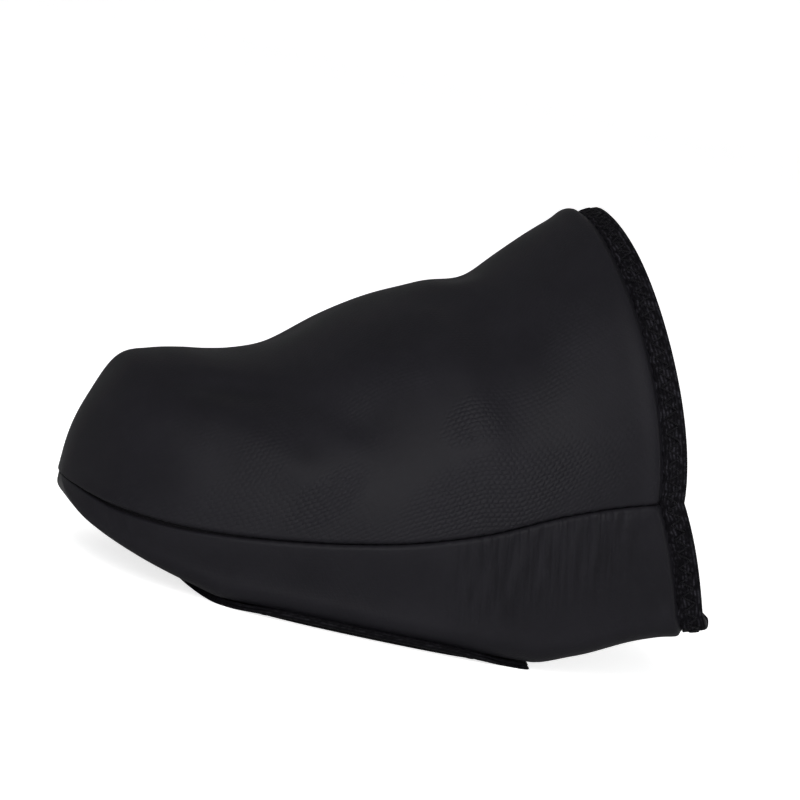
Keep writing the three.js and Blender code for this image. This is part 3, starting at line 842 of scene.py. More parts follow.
@dataclass
class Effects:
    """The effects that several finishes share, each a node group built once.

    Scales are grains a metre, and pairs are where an effect fades in or out.
    """

    wander_scale: float = 420.0
    wander: float = 0.9
    wear_scale: float = 45.0
    wear: Pair = (0.44, 0.62)
    wear_low: Pair = (22 * MM, 46 * MM)
    faint_share: float = 0.4
    smooth_share: float = 0.08
    nap_detail: float = 3.0
    lie_scale: float = 70.0
    lie_detail: float = 4.0
    weave_height: float = 0.6
    gather_lean: float = -0.19
    gather_width: float = 1.5 * MM
    gather_length: float = 16 * MM
    gather_detail: float = 1.5
    gather_ahead: Pair = (96 * MM, 110 * MM)
    gather_behind: Pair = (148 * MM, 134 * MM)
    gather_below: Pair = (28 * MM, 12 * MM)

    def __post_init__(self) -> None:
        """Builds the groups."""
        self.knit = self._knit()
        self.nap = self._nap()
        self.ribs = self._ribs()
        self.gathers = self._gathers()

    def _knit(self) -> bpy.types.NodeTree:
        """Rows of short stitches, each row set off by half a stitch, with uneven yarn.

        Height is the round of a stitch across times its round along. The stitches show most in the glint
        patches, ovals where the key light's highlight falls, a little in random patches low on the
        sides, and next to nothing elsewhere. The facing's colour paints stitch tops lighter by this
        height, which in the glint patches is a painted glint.
        """
        sheet = GroupSheet("knit_facing", ("Wale", "Course"), ("Height",))
        place = sheet.entry["Place"]
        along, across = sheet.parts(place)
        uneven = sheet.math("SUBTRACT", sheet.noise(place, self.wander_scale), 0.5)
        drift = sheet.math("MULTIPLY", uneven, self.wander)
        wales = sheet.math("ADD", sheet.math("DIVIDE", along, sheet.entry["Wale"]), drift)
        courses = sheet.math("ADD", sheet.math("DIVIDE", across, sheet.entry["Course"]), drift)
        odd = sheet.math("FLOORED_MODULO", sheet.math("FLOOR", courses), 2.0)
        cell = sheet.math("FRACT", sheet.math("ADD", wales, sheet.math("MULTIPLY", odd, 0.5)))
        stitch = sheet.math("MULTIPLY", sheet.hump(cell), sheet.hump(sheet.math("FRACT", courses)))
        around = sheet.math("ABSOLUTE", across)
        wear = sheet.fade(sheet.noise(place, self.wear_scale, 1.0), *self.wear)
        faint = sheet.math("MULTIPLY", wear, sheet.fade(around, *self.wear_low))
        shown = sheet.math("MULTIPLY", faint, self.faint_share)
        # The glint patches sit where the key light's highlight falls; the stitch tops painted lighter
        # there are a painted glint
        for patch in GLINT_PATCHES:
            shown = sheet.math("MAXIMUM", shown, patch.window(sheet, along, around))
        glint_and_wear_share = sheet.math("MULTIPLY_ADD", shown, 1 - self.smooth_share, self.smooth_share)
        sheet.feed(sheet.leave["Height"], sheet.math("MULTIPLY", stitch, glint_and_wear_share))
        return sheet.tree

    def _nap(self) -> bpy.types.NodeTree:
        """Brushed fibres: fine noise for their height and broad noise for how they lie."""
        sheet = GroupSheet("nap", ("Fineness",), ("Height", "Patches"))
        place = sheet.entry["Place"]
        fine = sheet.noise(place, sheet.entry["Fineness"], self.nap_detail)
        sheet.feed(sheet.leave["Height"], fine)
        sheet.feed(sheet.leave["Patches"], sheet.noise(place, self.lie_scale, self.lie_detail))
        return sheet.tree

    def _ribs(self) -> bpy.types.NodeTree:
        """Woven ribs along a tape, crossed by its weft: two waves at right angles, added up."""
        sheet = GroupSheet("woven_ribs", ("Rib", "Weft"), ("Height",))
        along, across = sheet.parts(sheet.entry["Place"])
        weft = sheet.wave(along, sheet.entry["Weft"])
        rib = sheet.wave(across, sheet.entry["Rib"])
        crossed = sheet.math("MULTIPLY", weft, rib)
        height = sheet.math("MULTIPLY_ADD", crossed, self.weave_height, rib)
        sheet.feed(sheet.leave["Height"], sheet.math("MULTIPLY", height, self.weave_height))
        return sheet.tree

    def _gathers(self) -> bpy.types.NodeTree:
        """Fine gathers down the side of the strap: noise drawn out along them, in a soft window.

        X of the place is the length along the seam and Y the way down from it. The gathers lean
        back a little as they go down.
        """
        sheet = GroupSheet("gathers", (), ("Height",))
        along, down = sheet.parts(sheet.entry["Place"])
        upright = sheet.math("MULTIPLY_ADD", down, self.gather_lean, along)
        drawn = sheet.add("ShaderNodeCombineXYZ")
        sheet.feed(drawn.inputs[0], sheet.math("DIVIDE", upright, self.gather_width))
        sheet.feed(drawn.inputs[1], sheet.math("DIVIDE", down, self.gather_length))
        height = sheet.math("SUBTRACT", sheet.noise(drawn.outputs[0], 1.0, self.gather_detail), 0.5)
        for value, fading in (
            (along, self.gather_ahead),
            (along, self.gather_behind),
            (down, self.gather_below),
        ):
            height = sheet.math("MULTIPLY", height, sheet.fade(value, *fading))
        sheet.feed(sheet.leave["Height"], height)
        return sheet.tree


@dataclass(frozen=True)
class Finish:
    """What all finishes share: two colours, sheen, plain reflection, and nap that varies the gloss."""

    name: str
    dark: Colour
    light: Colour
    sheen: float = 0.01
    sheen_tint: Colour = (0.5, 0.5, 0.55)
    sheen_roughness: float = 0.45
    specular: float = 0.02
    roughness: Pair = (0.5, 0.7)
    nap_fineness: float = 3200.0

    def pattern(self, sheet: NodeSheet, effects: Effects, where: Sockets, nap: Sockets) -> Pattern:
        """The share of the light colour and the normal; each kind of finish says how."""
        raise NotImplementedError

    def material(self, effects: Effects) -> bpy.types.Material:
        """Builds the finish: its pattern as colour and bump, and the nap's lie as roughness."""
        material = bpy.data.materials.new(self.name)
        material.use_nodes = True
        sheet = NodeSheet(material.node_tree)
        shader = material.node_tree.nodes["Principled BSDF"].inputs
        shader["Sheen Weight"].default_value = self.sheen
        shader["Sheen Tint"].default_value = (*self.sheen_tint, 1.0)
        shader["Sheen Roughness"].default_value = self.sheen_roughness
        shader["Specular IOR Level"].default_value = self.specular
        where = sheet.add("ShaderNodeTexCoord").outputs
        nap = sheet.group(effects.nap, place=where["Object"], fineness=self.nap_fineness)
        shade, normal = self.pattern(sheet, effects, where, nap)
        low, high = self.roughness
        sheet.feed(shader["Base Color"], sheet.blend(shade, self.dark, self.light))
        sheet.feed(shader["Roughness"], sheet.math("MULTIPLY_ADD", nap["Patches"], high - low, low))
        sheet.feed(shader["Normal"], normal)
        return material


@dataclass(frozen=True)
class KnitFinish(Finish):
    """Knit facing of the foam: rows of stitches, a soft nap and patches where it is brushed."""

    sheen: float = 0.0
    specular: float = 0.065
    roughness: Pair = (0.45, 0.6)
    nap_fineness: float = 2600.0
    wale: float = 1.4 * MM
    course: float = 1.0 * MM
    stitch_depth: float = 0.125 * MM
    nap_depth: float = 0.05 * MM
    gather_depth: float = 0.0
    painted_stitch_glint: float = 0.3
    patch_shade: float = 0.8
    gather_painted_shade: float = 1.2
    base_shade: float = -0.05

    def pattern(self, sheet: NodeSheet, effects: Effects, where: Sockets, nap: Sockets) -> Pattern:
        """Stitches, patches and gathers add up to the shade: the stitch tops are painted lighter as a
        painted glint, and the gathers get painted shade in their troughs and painted light on their
        ridges; nap lies over stitches over gathers.
        """
        place = where["UV"]
        knit = sheet.group(effects.knit, place=place, wale=self.wale, course=self.course)["Height"]
        # Stitch tops painted lighter by the knit's height: a painted glint, strongest in the glint
        # patches
        shade = sheet.math("MULTIPLY_ADD", knit, self.painted_stitch_glint, self.base_shade)
        shade = sheet.math("MULTIPLY_ADD", nap["Patches"], self.patch_shade, shade)
        gathered = None
        if self.gather_depth > 0:
            gathers = sheet.group(effects.gathers, place=place)["Height"]
            gathered = sheet.bump(gathers, self.gather_depth)
            # Painted shade and light on the gathers: darker in their troughs, lighter on their ridges
            shade = sheet.math("MULTIPLY_ADD", gathers, self.gather_painted_shade, shade)
        stitched = sheet.bump(knit, self.stitch_depth, gathered)
        return shade, sheet.bump(nap["Height"], self.nap_depth, stitched)


@dataclass(frozen=True)
class TapeFinish(Finish):
    """Woven elastic tape: ribs along it crossed by the weft, with pale yarn here and there."""

    sheen_tint: Colour = (0.45, 0.45, 0.5)
    rib: float = 0.8 * MM
    weft: float = 0.55 * MM
    depth: float = 0.14 * MM
    nap_depth: float = 0.04 * MM
    yarn_scale: float = 850.0
    yarn: Pair = (0.4, 0.68)

    def pattern(self, sheet: NodeSheet, effects: Effects, where: Sockets, nap: Sockets) -> Pattern:
        """The weave times the pale yarn is the shade, and the nap lies over the weave."""
        ribs = sheet.group(effects.ribs, place=where["UV"], rib=self.rib, weft=self.weft)["Height"]
        yarn = sheet.fade(sheet.noise(where["Object"], self.yarn_scale, 1.0), *self.yarn)
        woven = sheet.bump(ribs, self.depth)
        return sheet.math("MULTIPLY", ribs, yarn), sheet.bump(nap["Height"], self.nap_depth, woven)


@dataclass(frozen=True)
class ThreadFinish(Finish):
    """Polyester thread: a twist in its colour and bump, and a soft gloss."""

    sheen_tint: Colour = (0.6, 0.6, 0.6)
    specular: float = 0.04
    roughness: Pair = (0.4, 0.6)
    nap_fineness: float = 4000.0
    twist: float = 0.5 * MM
    depth: float = 0.08 * MM

    def pattern(self, sheet: NodeSheet, effects: Effects, where: Sockets, nap: Sockets) -> Pattern:
        """The twist is a wave along the thread that leans round it."""
        height = sheet.wave(sheet.math("ADD", *sheet.parts(where["UV"])), self.twist)
        return height, sheet.bump(height, self.depth)


FACING = KnitFinish("neoprene_facing", (0.0066, 0.0063, 0.0079), (0.0130, 0.0124, 0.0154))
GATHERED = replace(FACING, name="gathered_facing", gather_depth=0.75 * MM)
LINING = KnitFinish(
    "brushed_lining",
    (0.006, 0.006, 0.0065),
    (0.016, 0.016, 0.017),
    sheen=0.08,
    specular=0.01,
    wale=0.9 * MM,
    course=0.7 * MM,
    nap_depth=0.16 * MM,
)
TAPE = TapeFinish("elastic_tape", (0.0030, 0.0028, 0.0036), (0.0225, 0.0215, 0.0265))
HEM = replace(TAPE, name="hem_tape", light=(0.0120, 0.0115, 0.0140))
THREAD = ThreadFinish("black_thread", (0.0026, 0.0025, 0.0030), (0.0095, 0.0092, 0.0110))


def clustered(count: int, crowding: float) -> Array:
    """Shares from 0 to 1 that crowd towards both ends, by taking a sine off an even spacing."""
    even = np.linspace(0.0, 1.0, count)
    return even - crowding * np.sin(2 * np.pi * even) / (2 * np.pi)


@dataclass
class UpperPanel:
    """The domed panel over toes and instep, from seam to seam and from the toe tip to the collar."""

    foam: Foam
    rows: int = 190
    columns: int = 205
    crowding: float = 0.86

    def build(self, materials: Materials) -> bpy.types.Object:
        """Builds the panel on lines from the toe tip to the collar, and closes its edges.

        Args:
            materials: The finishes of the outside and of the lining.

        Returns:
            The piece.
        """
        last = self.foam.last
        share = np.sin(np.linspace(0.0, 1.0, self.rows) * math.pi / 2) ** 2
        turn = np.broadcast_to(clustered(self.columns, self.crowding), (self.rows, self.columns))
        run = share[:, None] * last.collar_run(turn)
        outside, inside = self.foam.faces(Panel.UPPER, run, turn, np.full(run.shape, np.inf))
        crown = self.columns // 2
        around = run_length(outside, axis=1)
        along = run_length(outside, axis=0)
        place = np.stack([along, around - around[:, crown : crown + 1]], axis=-1)
        skin = Skin()
        skin.add_grid(outside, place)
        skin.add_grid(inside, place, finish=1, flip=True)
        for column in (0, -1):
            edge = np.stack([outside[:, column], inside[:, column]], axis=1)
            skin.add_grid(edge, np.stack([place[:, column]] * 2, axis=1), flip=column == 0)
        collar = np.stack([outside[-1], inside[-1]])
        skin.add_grid(collar, np.stack([place[-1]] * 2), finish=1)
        sharp = self.foam.sharp_bend
        return skin.hand_over("upper_panel_foam", materials, "neoprene", "upper_panel", sharp=sharp)


@dataclass
class SolePanel:
    """The lower panel: the sides below the seam, the toe pocket's underside and the strap.

    It is laid out in ribs from its outer edge to the cleat opening, closed into a ring. The ribs
    start along the outer seam, at the toe tip, along the inner seam and round the strap. Each of
    these stretches is spread by its real length, on the outer edge and on the opening.
    """

    foam: Foam
    seam_ribs: int = 190
    tip_ribs: int = 44
    strap_ribs: int = 130
    rows: int = 56
    hem_rows: int = 14
    row_crowding: float = 1.6
    tip_corner: float = 3.17
    opening_steps: int = 800
    edge_steps: int = 1500
    table_rows: int = 400
    beside_seam: float = 1e-9
    short_of_seam: float = 1e-6

    def opening_angles(self, start: float, end: float, count: int) -> Array:
        """Angles between two places round the opening, evenly by length, without the last one."""
        last = self.foam.last
        place = np.linspace(start, end, self.opening_steps)
        angle = last.opening_angle(place)
        length = run_length(last.outside(*last.opening_place(angle, np.zeros_like(angle))))
        even = np.linspace(0, length[-1], count + 1)[:-1]
        return last.opening_angle(np.interp(even, length, place))

    def ring(self) -> tuple[Array, Array, Array]:
        """Outer run, outer turn and opening angle of each rib, once round from the outer collar."""
        last = self.foam.last
        run = np.linspace(0, 1, self.edge_steps) ** 2 * last.collar_run(np.array(0.0))
        length = run_length(last.outside(run, 0.0))
        seam = np.interp(np.linspace(length[-1], 0, self.seam_ribs + 1), length, run)
        turn = np.linspace(SEAM_TURN, WHOLE_TURN - self.short_of_seam, self.edge_steps)
        length = run_length(last.outside(last.collar_run(turn), turn))
        strap = np.interp(np.linspace(0, length[-1], self.strap_ribs + 1), length, turn)[:-1]
        tip = np.linspace(WHOLE_TURN, SEAM_TURN, self.tip_ribs + 1)[:-1]
        turns = [np.full(self.seam_ribs, WHOLE_TURN - self.beside_seam), tip]
        turns += [np.full(self.seam_ribs, SEAM_TURN + self.beside_seam), strap]
        runs = [seam[:-1], np.zeros(self.tip_ribs), seam[:0:-1], last.collar_run(strap)]
        once = 2 * FRONT_MIDDLE
        stops = [-REAR_CORNER, -self.tip_corner, self.tip_corner - once]
        stops += [REAR_CORNER - once, -REAR_CORNER - once]
        counts = (self.seam_ribs, self.tip_ribs, self.seam_ribs, self.strap_ribs)
        angles = [
            self.opening_angles(start, end, count)
            for start, end, count in zip(stops, stops[1:], counts)
        ]
        return tuple(np.append(np.concatenate(parts), parts[0][0]) for parts in (runs, turns, angles))

    def build(self, materials: Materials) -> bpy.types.Object:
        """Builds the panel rib by rib and closes its edges.

        Args:
            materials: The finishes of the outside and of the lining.

        Returns:
            The piece.
        """
        last = self.foam.last
        edge_run, edge_turn, angle = (part[:, None] for part in self.ring())
        hem = self.foam.hem_width + self.foam.press_length
        hem_run, hem_turn = last.opening_place(angle, np.full_like(angle, hem))
        share = np.linspace(0, 1, self.rows)[:-1] ** self.row_crowding
        distance = np.linspace(hem, 0, self.hem_rows)
        hem_rows = np.broadcast_to(distance, (len(angle), len(distance)))
        hem_runs, hem_turns = last.opening_place(angle, hem_rows)
        run = np.concatenate([mix(edge_run, hem_run, share), hem_runs], axis=1)
        turn = np.concatenate([mix(edge_turn, hem_turn, share), hem_turns], axis=1)
        opening = np.concatenate([np.full(len(share), np.inf), distance])
        opening = np.broadcast_to(opening, run.shape)
        outside, inside = self.foam.faces(Panel.LOWER, run, turn, opening)
        place = self.texture_places(run, outside)
        skin = Skin()
        skin.add_grid(outside, place, flip=True)
        skin.add_grid(inside, place, finish=1)
        for row in (0, -1):
            edge = np.stack([outside[:, row], inside[:, row]], axis=1)
            skin.add_grid(edge, np.stack([place[:, row]] * 2, axis=1), flip=row == 0)
        sharp = self.foam.sharp_bend
        return skin.hand_over("sole_panel_foam", materials, "neoprene", "sole_panel", sharp=sharp)

    def texture_places(self, run: Array, points: Array) -> Array:
        """Texture places: the seam's length up to the run, and the way down and in from the seam."""
        last = self.foam.last
        table = np.linspace(0, 1, self.table_rows) ** 2 * last.cover_length
        length = run_length(last.outside(table, 0.0))
        section = last.section(run)
        across = points[..., 1] - UPPER_CORNER.y - last.ball_width / 2
        half = np.where(across < 0, section.outer, section.inner)
        down = section.seam - points[..., 2] + half - np.abs(across)
        whole = 2 * (section.seam - section.keel) + section.outer + section.inner
        down = np.where(across < 0, down, whole - down)
        return np.stack([np.interp(run, table, length), down], axis=-1)


# Points on each rounded corner of an outline, and the least number of steps round it
CORNER_POINTS = 7
LEAST_STEPS = 12


def rounded_outline(corners: tuple[Triple, ...], spacing: float) -> Array:
    """A closed outline with its corners rounded, as points an even distance apart.

    Args:
        corners: Two coordinates and the cut-back of each corner, in order.
        spacing: Wanted distance between points.

    Returns:
        Points of the outline, the first one repeated at the end.
    """
    table = np.array(corners)
    spots, cuts = table[:, :2], table[:, 2:]
    before = unit(np.roll(spots, 1, axis=0) - spots) * cuts
    after = unit(np.roll(spots, -1, axis=0) - spots) * cuts
    share = np.linspace(0, 1, CORNER_POINTS)[None, :, None]
    start, end = (spots + before)[:, None], (spots + after)[:, None]
    curves = (1 - share) ** 2 * start + 2 * share * (1 - share) * spots[:, None] + share**2 * end
    line = curves.reshape(-1, 2)
    line = np.concatenate([line, line[:1]])
    length = run_length(line)
    even = np.linspace(0, length[-1], max(int(length[-1] / spacing), LEAST_STEPS) + 1)
    return np.stack([np.interp(even, length, line[:, axis]) for axis in (0, 1)], axis=1)


@dataclass
class Tape:
    """A tape folded over an edge of the foam, with the zigzag or straight stitches through it.

    A place on it is a distance from the foam's edge, positive on the foam, and a depth under the
    last's outside.
    """

    foam: Foam
    edge_step: float = 0.3 * MM
    samples: int = 600

    def place_at(self, parameter: Array, distance: Array) -> tuple[Array, Array]:
        """Run and turn at a distance from the edge; each kind of tape says how."""
        raise NotImplementedError

    def settled(self, run: Array, turn: Array) -> Array:
        """How far the tape follows the folds of the foam."""
        return self.foam.settle(run, turn)

    def points(self, parameter: Array, distance: Array, depth: Array) -> Array:
        """Points of the tape; past the edge it goes straight on from the foam."""
        last = self.foam.last
        run, turn = self.place_at(parameter, np.maximum(distance, 0.0))
        normal = last.facing(run, turn)
        height = self.settled(run, turn) - depth
        edge = last.outside(*self.place_at(parameter, np.zeros_like(distance)))
        behind = last.outside(*self.place_at(parameter, np.full_like(distance, self.edge_step)))
        past = np.maximum(-distance, 0.0)[..., None]
        return last.outside(run, turn) + normal * height[..., None] + unit(edge - behind) * past

    def outward(self, parameter: Array, distance: Array) -> Array:
        """Direction out of the foam at places on the tape."""
        return self.foam.last.facing(*self.place_at(parameter, np.maximum(distance, 0.0)))

    def spread(self, parameter: Array, distance: float) -> tuple[Array, Array]:
        """Parameters spread evenly by the length at a distance, closed, and the length to each."""
        measured = np.full_like(parameter, distance)
        length = run_length(self.points(parameter, measured, np.zeros_like(parameter)))
        even = np.linspace(0.0, length[-1], self.samples)
        return np.interp(even, length, parameter), even

    def skin(self, grid: Array, length: Array, outline: Array, flip: bool = False) -> Skin:
        """The tape's skin: its texture places run along it and round its outline.

        Args:
            grid: Points, along the tape by round its outline.
            length: Length along the tape at each row.
            outline: Points of the outline.
            flip: Whether the skin faces the other way.

        Returns:
            The skin.
        """
        shape = grid.shape[:2]
        across = np.broadcast_to(run_length(outline), shape)
        place = np.stack([np.broadcast_to(length[:, None], shape), across], axis=-1)
        skin = Skin()
        skin.add_grid(grid, place, flip=flip)
        return skin


@dataclass
class CollarTape(Tape):
    """The tape round the collar, over both panels, zigzag stitched."""

    thickness: float = 0.7 * MM
    slack: float = 0.08 * MM
    pitch: float = 3.4 * MM
    near: float = 1.1 * MM
    far: float = 3.9 * MM
    dimple: float = 0.34 * MM
    dimple_radius: float = 0.75 * MM
    edge_wave: float = 0.15 * MM
    edge_round: float = 0.34 * MM
    bend_round: float = 0.3 * MM
    fold_round: float = 1.3 * MM
    path_steps: int = 4000
    samples: int = 620
    spacing: float = 0.4 * MM

    def place_at(self, parameter: Array, distance: Array) -> tuple[Array, Array]:
        """The parameter is the turn, and the distance runs towards the toe."""
        narrowing = self.foam.tape_reach(parameter) / self.foam.tape_width
        return self.foam.last.collar_run(parameter) - distance * narrowing, parameter

    def depths(self) -> tuple[float, float, float, float]:
        """Depths of the outer skin, the outer leg's face, the inner leg's face and its skin."""
        foam = self.foam
        outer_face = foam.collar_press - self.slack
        inner_face = foam.collar_press + foam.bound_wall + self.slack
        return outer_face - self.thickness, outer_face, inner_face, inner_face + self.thickness

    def path(self) -> tuple[Array, Array]:
        """Turns round the collar evenly by length, closed, and the length to each."""
        turn = np.linspace(0.0, WHOLE_TURN, self.path_steps)
        return self.spread(turn, (self.near + self.far) / 2)

    def stitches(self) -> tuple[int, float]:
        """Number of needle holes round the tape, even, and the length between them."""
        total = self.path()[1][-1]
        count = 2 * round(total / self.pitch)
        return count, total / count

    def dimples(self, length: Array, distance: Array) -> Array:
        """How far the stitches pull the tape in: a bell at each needle hole."""
        _, step = self.stitches()
        hole = np.round(length / step)
        across = np.where(np.mod(hole, 2) < 1, self.near, self.far)
        square = (length - hole * step) ** 2 + (distance - across) ** 2
        return self.dimple * np.exp(-square / self.dimple_radius**2)

    def build(self, material: bpy.types.Material) -> bpy.types.Object:
        """Builds the tape: its outline carried round the collar and pulled in at the stitches."""
        outer_skin, outer_face, inner_face, inner_skin = self.depths()
        width = self.foam.tape_width
        edge, bend, fold = self.edge_round, self.bend_round, self.fold_round
        past = self.slack + self.thickness
        corners = (
            (width, outer_skin, edge),
            (-past, outer_skin, fold),
            (-past, inner_skin, fold),
            (width, inner_skin, edge),
            (width, inner_face, edge),
            (-self.slack, inner_face, bend),
            (-self.slack, outer_face, bend),
            (width, outer_face, edge),
        )
        outline = rounded_outline(corners, self.spacing)
        turn, length = self.path()
        distance, depth = outline[:, 0], outline[:, 1]
        middle = (outer_skin + inner_skin) / 2
        shape = (len(turn), len(outline))
        parameter = np.broadcast_to(turn[:, None], shape)
        wave = self.edge_wave * np.sin(math.pi * length / self.stitches()[1])[:, None]
        moved = distance + wave * smooth_step(distance / width)
        pull = self.dimples(length[:, None], distance) * np.sign(middle - depth)
        grid = self.points(parameter, moved, np.broadcast_to(depth + pull, shape))
        skin = self.skin(grid, length, outline)
        return skin.hand_over("collar_tape", [material], "elastic_tape", "collar_binding")


@dataclass
class HemTape(Tape):
    """The doubled tape round the cleat opening, which the empty cover stands on."""

    layer: float = 0.72 * MM
    slack: float = 0.1 * MM
    inner_thickness: float = 0.8 * MM
    stitch_distance: float = 4.2 * MM
    stitch_length: float = 2.7 * MM
    channel: float = 0.42 * MM
    channel_width: float = 0.9 * MM
    curl: float = 2.4 * MM
    curl_span: float = 0.11
    curl_swell: float = 0.3 * MM
    edge_round: float = 0.33 * MM
    bend_round: float = 0.3 * MM
    fold_round: float = 1.2 * MM
    nick: float = 0.16 * MM
    nick_depth: float = 1.0 * MM
    inner_short: float = 1.2 * MM
    upper_short: float = 0.3 * MM
    place_steps: int = 1601
    samples: int = 560
    spacing: float = 0.35 * MM

    def place_at(self, parameter: Array, distance: Array) -> tuple[Array, Array]:
        """The parameter is the angle round the opening."""
        return self.foam.last.opening_place(parameter, distance)

    def settled(self, run: Array, turn: Array) -> Array:
        """The hem lies flat, whatever the foam does."""
        return np.zeros(np.broadcast_shapes(run.shape, turn.shape))

    def angles(self) -> tuple[Array, Array]:
        """Places once round the opening, from the middle of its front, and the angle of each."""
        place = np.linspace(-FRONT_MIDDLE, FRONT_MIDDLE, self.place_steps)
        return place, np.unwrap(self.foam.last.opening_angle(place))

    def path(self) -> tuple[Array, Array]:
        """Angles round the opening evenly by length, closed, and the length to each."""
        return self.spread(self.angles()[1], self.stitch_distance)

    def build(self, material: bpy.types.Material) -> bpy.types.Object:
        """Builds the hem: two layers under the foam, the fold at the opening and the inner leg.

        At both rear corners the tape has more length than the edge, so it curls outward. Nothing
        reaches below the floor.
        """
        width, sole = self.foam.hem_width, self.foam.last.sole
        top = -(sole - 2 * self.layer)
        joint = -(sole - self.layer)
        inner_face = self.foam.bound_wall + self.slack
        inner_skin = inner_face + self.inner_thickness
        edge, bend, fold = self.edge_round, self.bend_round, self.fold_round
        inner_end, upper_end = width - self.inner_short, width - self.upper_short
        past = self.slack + self.inner_thickness
        corners = (
            (width, -sole, edge),
            (-past, -sole, fold),
            (-past, inner_skin, fold),
            (inner_end, inner_skin, edge),
            (inner_end, inner_face, edge),
            (-self.slack, inner_face, bend),
            (-self.slack, top, bend),
            (upper_end, top, edge),
            (upper_end, joint + self.nick / 2, edge),
            (width - self.nick_depth, joint, self.nick / 2),
            (width, joint - self.nick / 2, edge),
        )
        outline = rounded_outline(corners, self.spacing)
        angle, length = self.path()
        distance, depth = outline[:, 0], outline[:, 1]
        shape = (len(angle), len(outline))
        places, angles = self.angles()
        place = np.abs(np.interp(angle, angles, places))
        corner = np.exp(-(((place - REAR_CORNER) / self.curl_span) ** 2))[:, None]
        outward = corner * smooth_step(distance / width)
        under = np.where(depth < 0, 1.0, 0.0)
        bell = np.exp(-(((distance - self.stitch_distance) / self.channel_width) ** 2))
        pull = self.channel * bell * np.where(depth < joint, 1.0, 0.0)
        grid = self.points(
            np.broadcast_to(angle[:, None], shape),
            distance + self.curl * outward,
            depth + pull - self.curl_swell * outward * under,
        )
        grid[..., 2] = np.maximum(grid[..., 2], 0.0)
        skin = self.skin(grid, length, outline, flip=True)
        return skin.hand_over("opening_hem", [material], "elastic_tape", "opening_binding")


# Share of a thread's radius that is left at its closed ends
THREAD_END = 0.02


def thread_skin(skin: Skin, centres: Array, outward: Array, radius: float, sides: int = 6) -> None:
    """Adds stitches of thread: a round tube about each row of centres, closed at both ends.

    Args:
        skin: Where the faces go.
        centres: Middle of the thread, stitches by points by x, y, z.
        outward: Direction out of the surface at each centre.
        radius: Radius of the thread.
        sides: Faces round the thread.
    """
    along = unit(np.gradient(centres, axis=1))
    side = unit(np.cross(along, outward))
    up = np.cross(side, along)
    angle = np.linspace(0, 2 * math.pi, sides + 1)[:-1]
    angle = np.append(angle, 0.0)
    ring = side[:, :, None] * np.cos(angle)[:, None] + up[:, :, None] * np.sin(angle)[:, None]
    ends = np.ones((centres.shape[1], 1, 1))
    ends[[0, -1]] = THREAD_END
    tubes = centres[:, :, None] + ring * radius * ends
    for tube in tubes:
        length = run_length(tube[:, 0])[:, None]
        turned = np.broadcast_to(angle * radius, tube.shape[:2])
        place = np.stack([np.broadcast_to(length, tube.shape[:2]), turned], axis=-1)
        skin.add_grid(tube, place)


@dataclass
class Stitching:
    """The threads: zigzag on both faces of the collar's tape, the hem's row and the seam's bead."""

    foam: Foam
    collar: CollarTape
    hem: HemTape
    radius: float = 0.2 * MM
    bead_radius: float = 0.5 * MM
    bead_rows: int = 160
    bead_sides: int = 8
    points: int = 9
    arc_power: int = 6
    zigzag_arc: Pair = (-0.35 * MM, 0.12 * MM)
    row_arc: Pair = (-0.2 * MM, 0.08 * MM)
    row_share: Pair = (0.06, 0.94)

    def arc(self, low: float, high: float) -> Array:
        """Height along a stitch: it comes up at its ends and lies level between them."""
        even = np.linspace(-1, 1, self.points)
        return mix(high, low, even**self.arc_power)

    def zigzag(self, material: bpy.types.Material) -> bpy.types.Object:
        """Zigzag stitches from needle hole to needle hole, outside and inside the collar."""
        count, step = self.collar.stitches()
        turn, length = self.collar.path()
        share = np.linspace(0, 1, self.points)
        hole = np.arange(count)[:, None]
        along = (hole + share) * step
        parameter = np.interp(along, length, turn)
        start = np.where(np.mod(hole, 2) < 1, self.collar.near, self.collar.far)
        end = self.collar.near + self.collar.far - start
        distance = mix(start, end, share)
        outer_skin, _, _, inner_skin = self.collar.depths()
        height = self.arc(*self.zigzag_arc)
        skin = Skin()
        for depth, way in ((outer_skin, 1.0), (inner_skin, -1.0)):
            centres = self.collar.points(parameter, distance, depth - way * height + 0 * along)
            normal = self.collar.outward(parameter, distance) * way
            thread_skin(skin, centres, normal, self.radius)
        return skin.hand_over("collar_zigzag", [material], "elastic_tape")

    def hem_row(self, material: bpy.types.Material) -> bpy.types.Object:
        """One row of straight stitches in the hem's channel, above the floor."""
        angle, length = self.hem.path()
        count = round(length[-1] / self.hem.stitch_length)
        share = np.linspace(*self.row_share, self.points)
        along = (np.arange(count)[:, None] + share) * length[-1] / count
        parameter = np.interp(along, length, angle)
        distance = np.full_like(parameter, self.hem.stitch_distance)
        height = self.arc(*self.row_arc)
        depth = -self.foam.last.sole + self.hem.channel - height + 0 * along
        centres = self.hem.points(parameter, distance, depth)
        skin = Skin()
        thread_skin(skin, centres, self.hem.outward(parameter, distance), self.radius)
        return skin.hand_over("hem_stitches", [material], "elastic_tape")

    def bead(self, material: bpy.types.Material) -> bpy.types.Object:
        """The bead of glue between the two panels, a tube along the whole seam."""
        last = self.foam.last
        runs = np.linspace(0, 1, self.bead_rows) ** 2 * float(last.collar_run(np.array(0.0)))
        run = np.concatenate([runs[::-1], runs[1:]])
        turn = np.concatenate([np.zeros(len(runs)), np.ones(len(runs) - 1)])
        depth = (1 + self.foam.stitch_pull) * self.foam.edge_roll + self.bead_radius
        normal = last.facing(run, turn)
        centres = last.outside(run, turn) + normal * (self.foam.settle(run, turn) - depth)[:, None]
        centres[:, 2] -= self.foam.gap(run) / 2
        skin = Skin()
        thread_skin(skin, centres[None], normal[None], self.bead_radius, self.bead_sides)
        return skin.hand_over("seam_bead", [material], "neoprene")


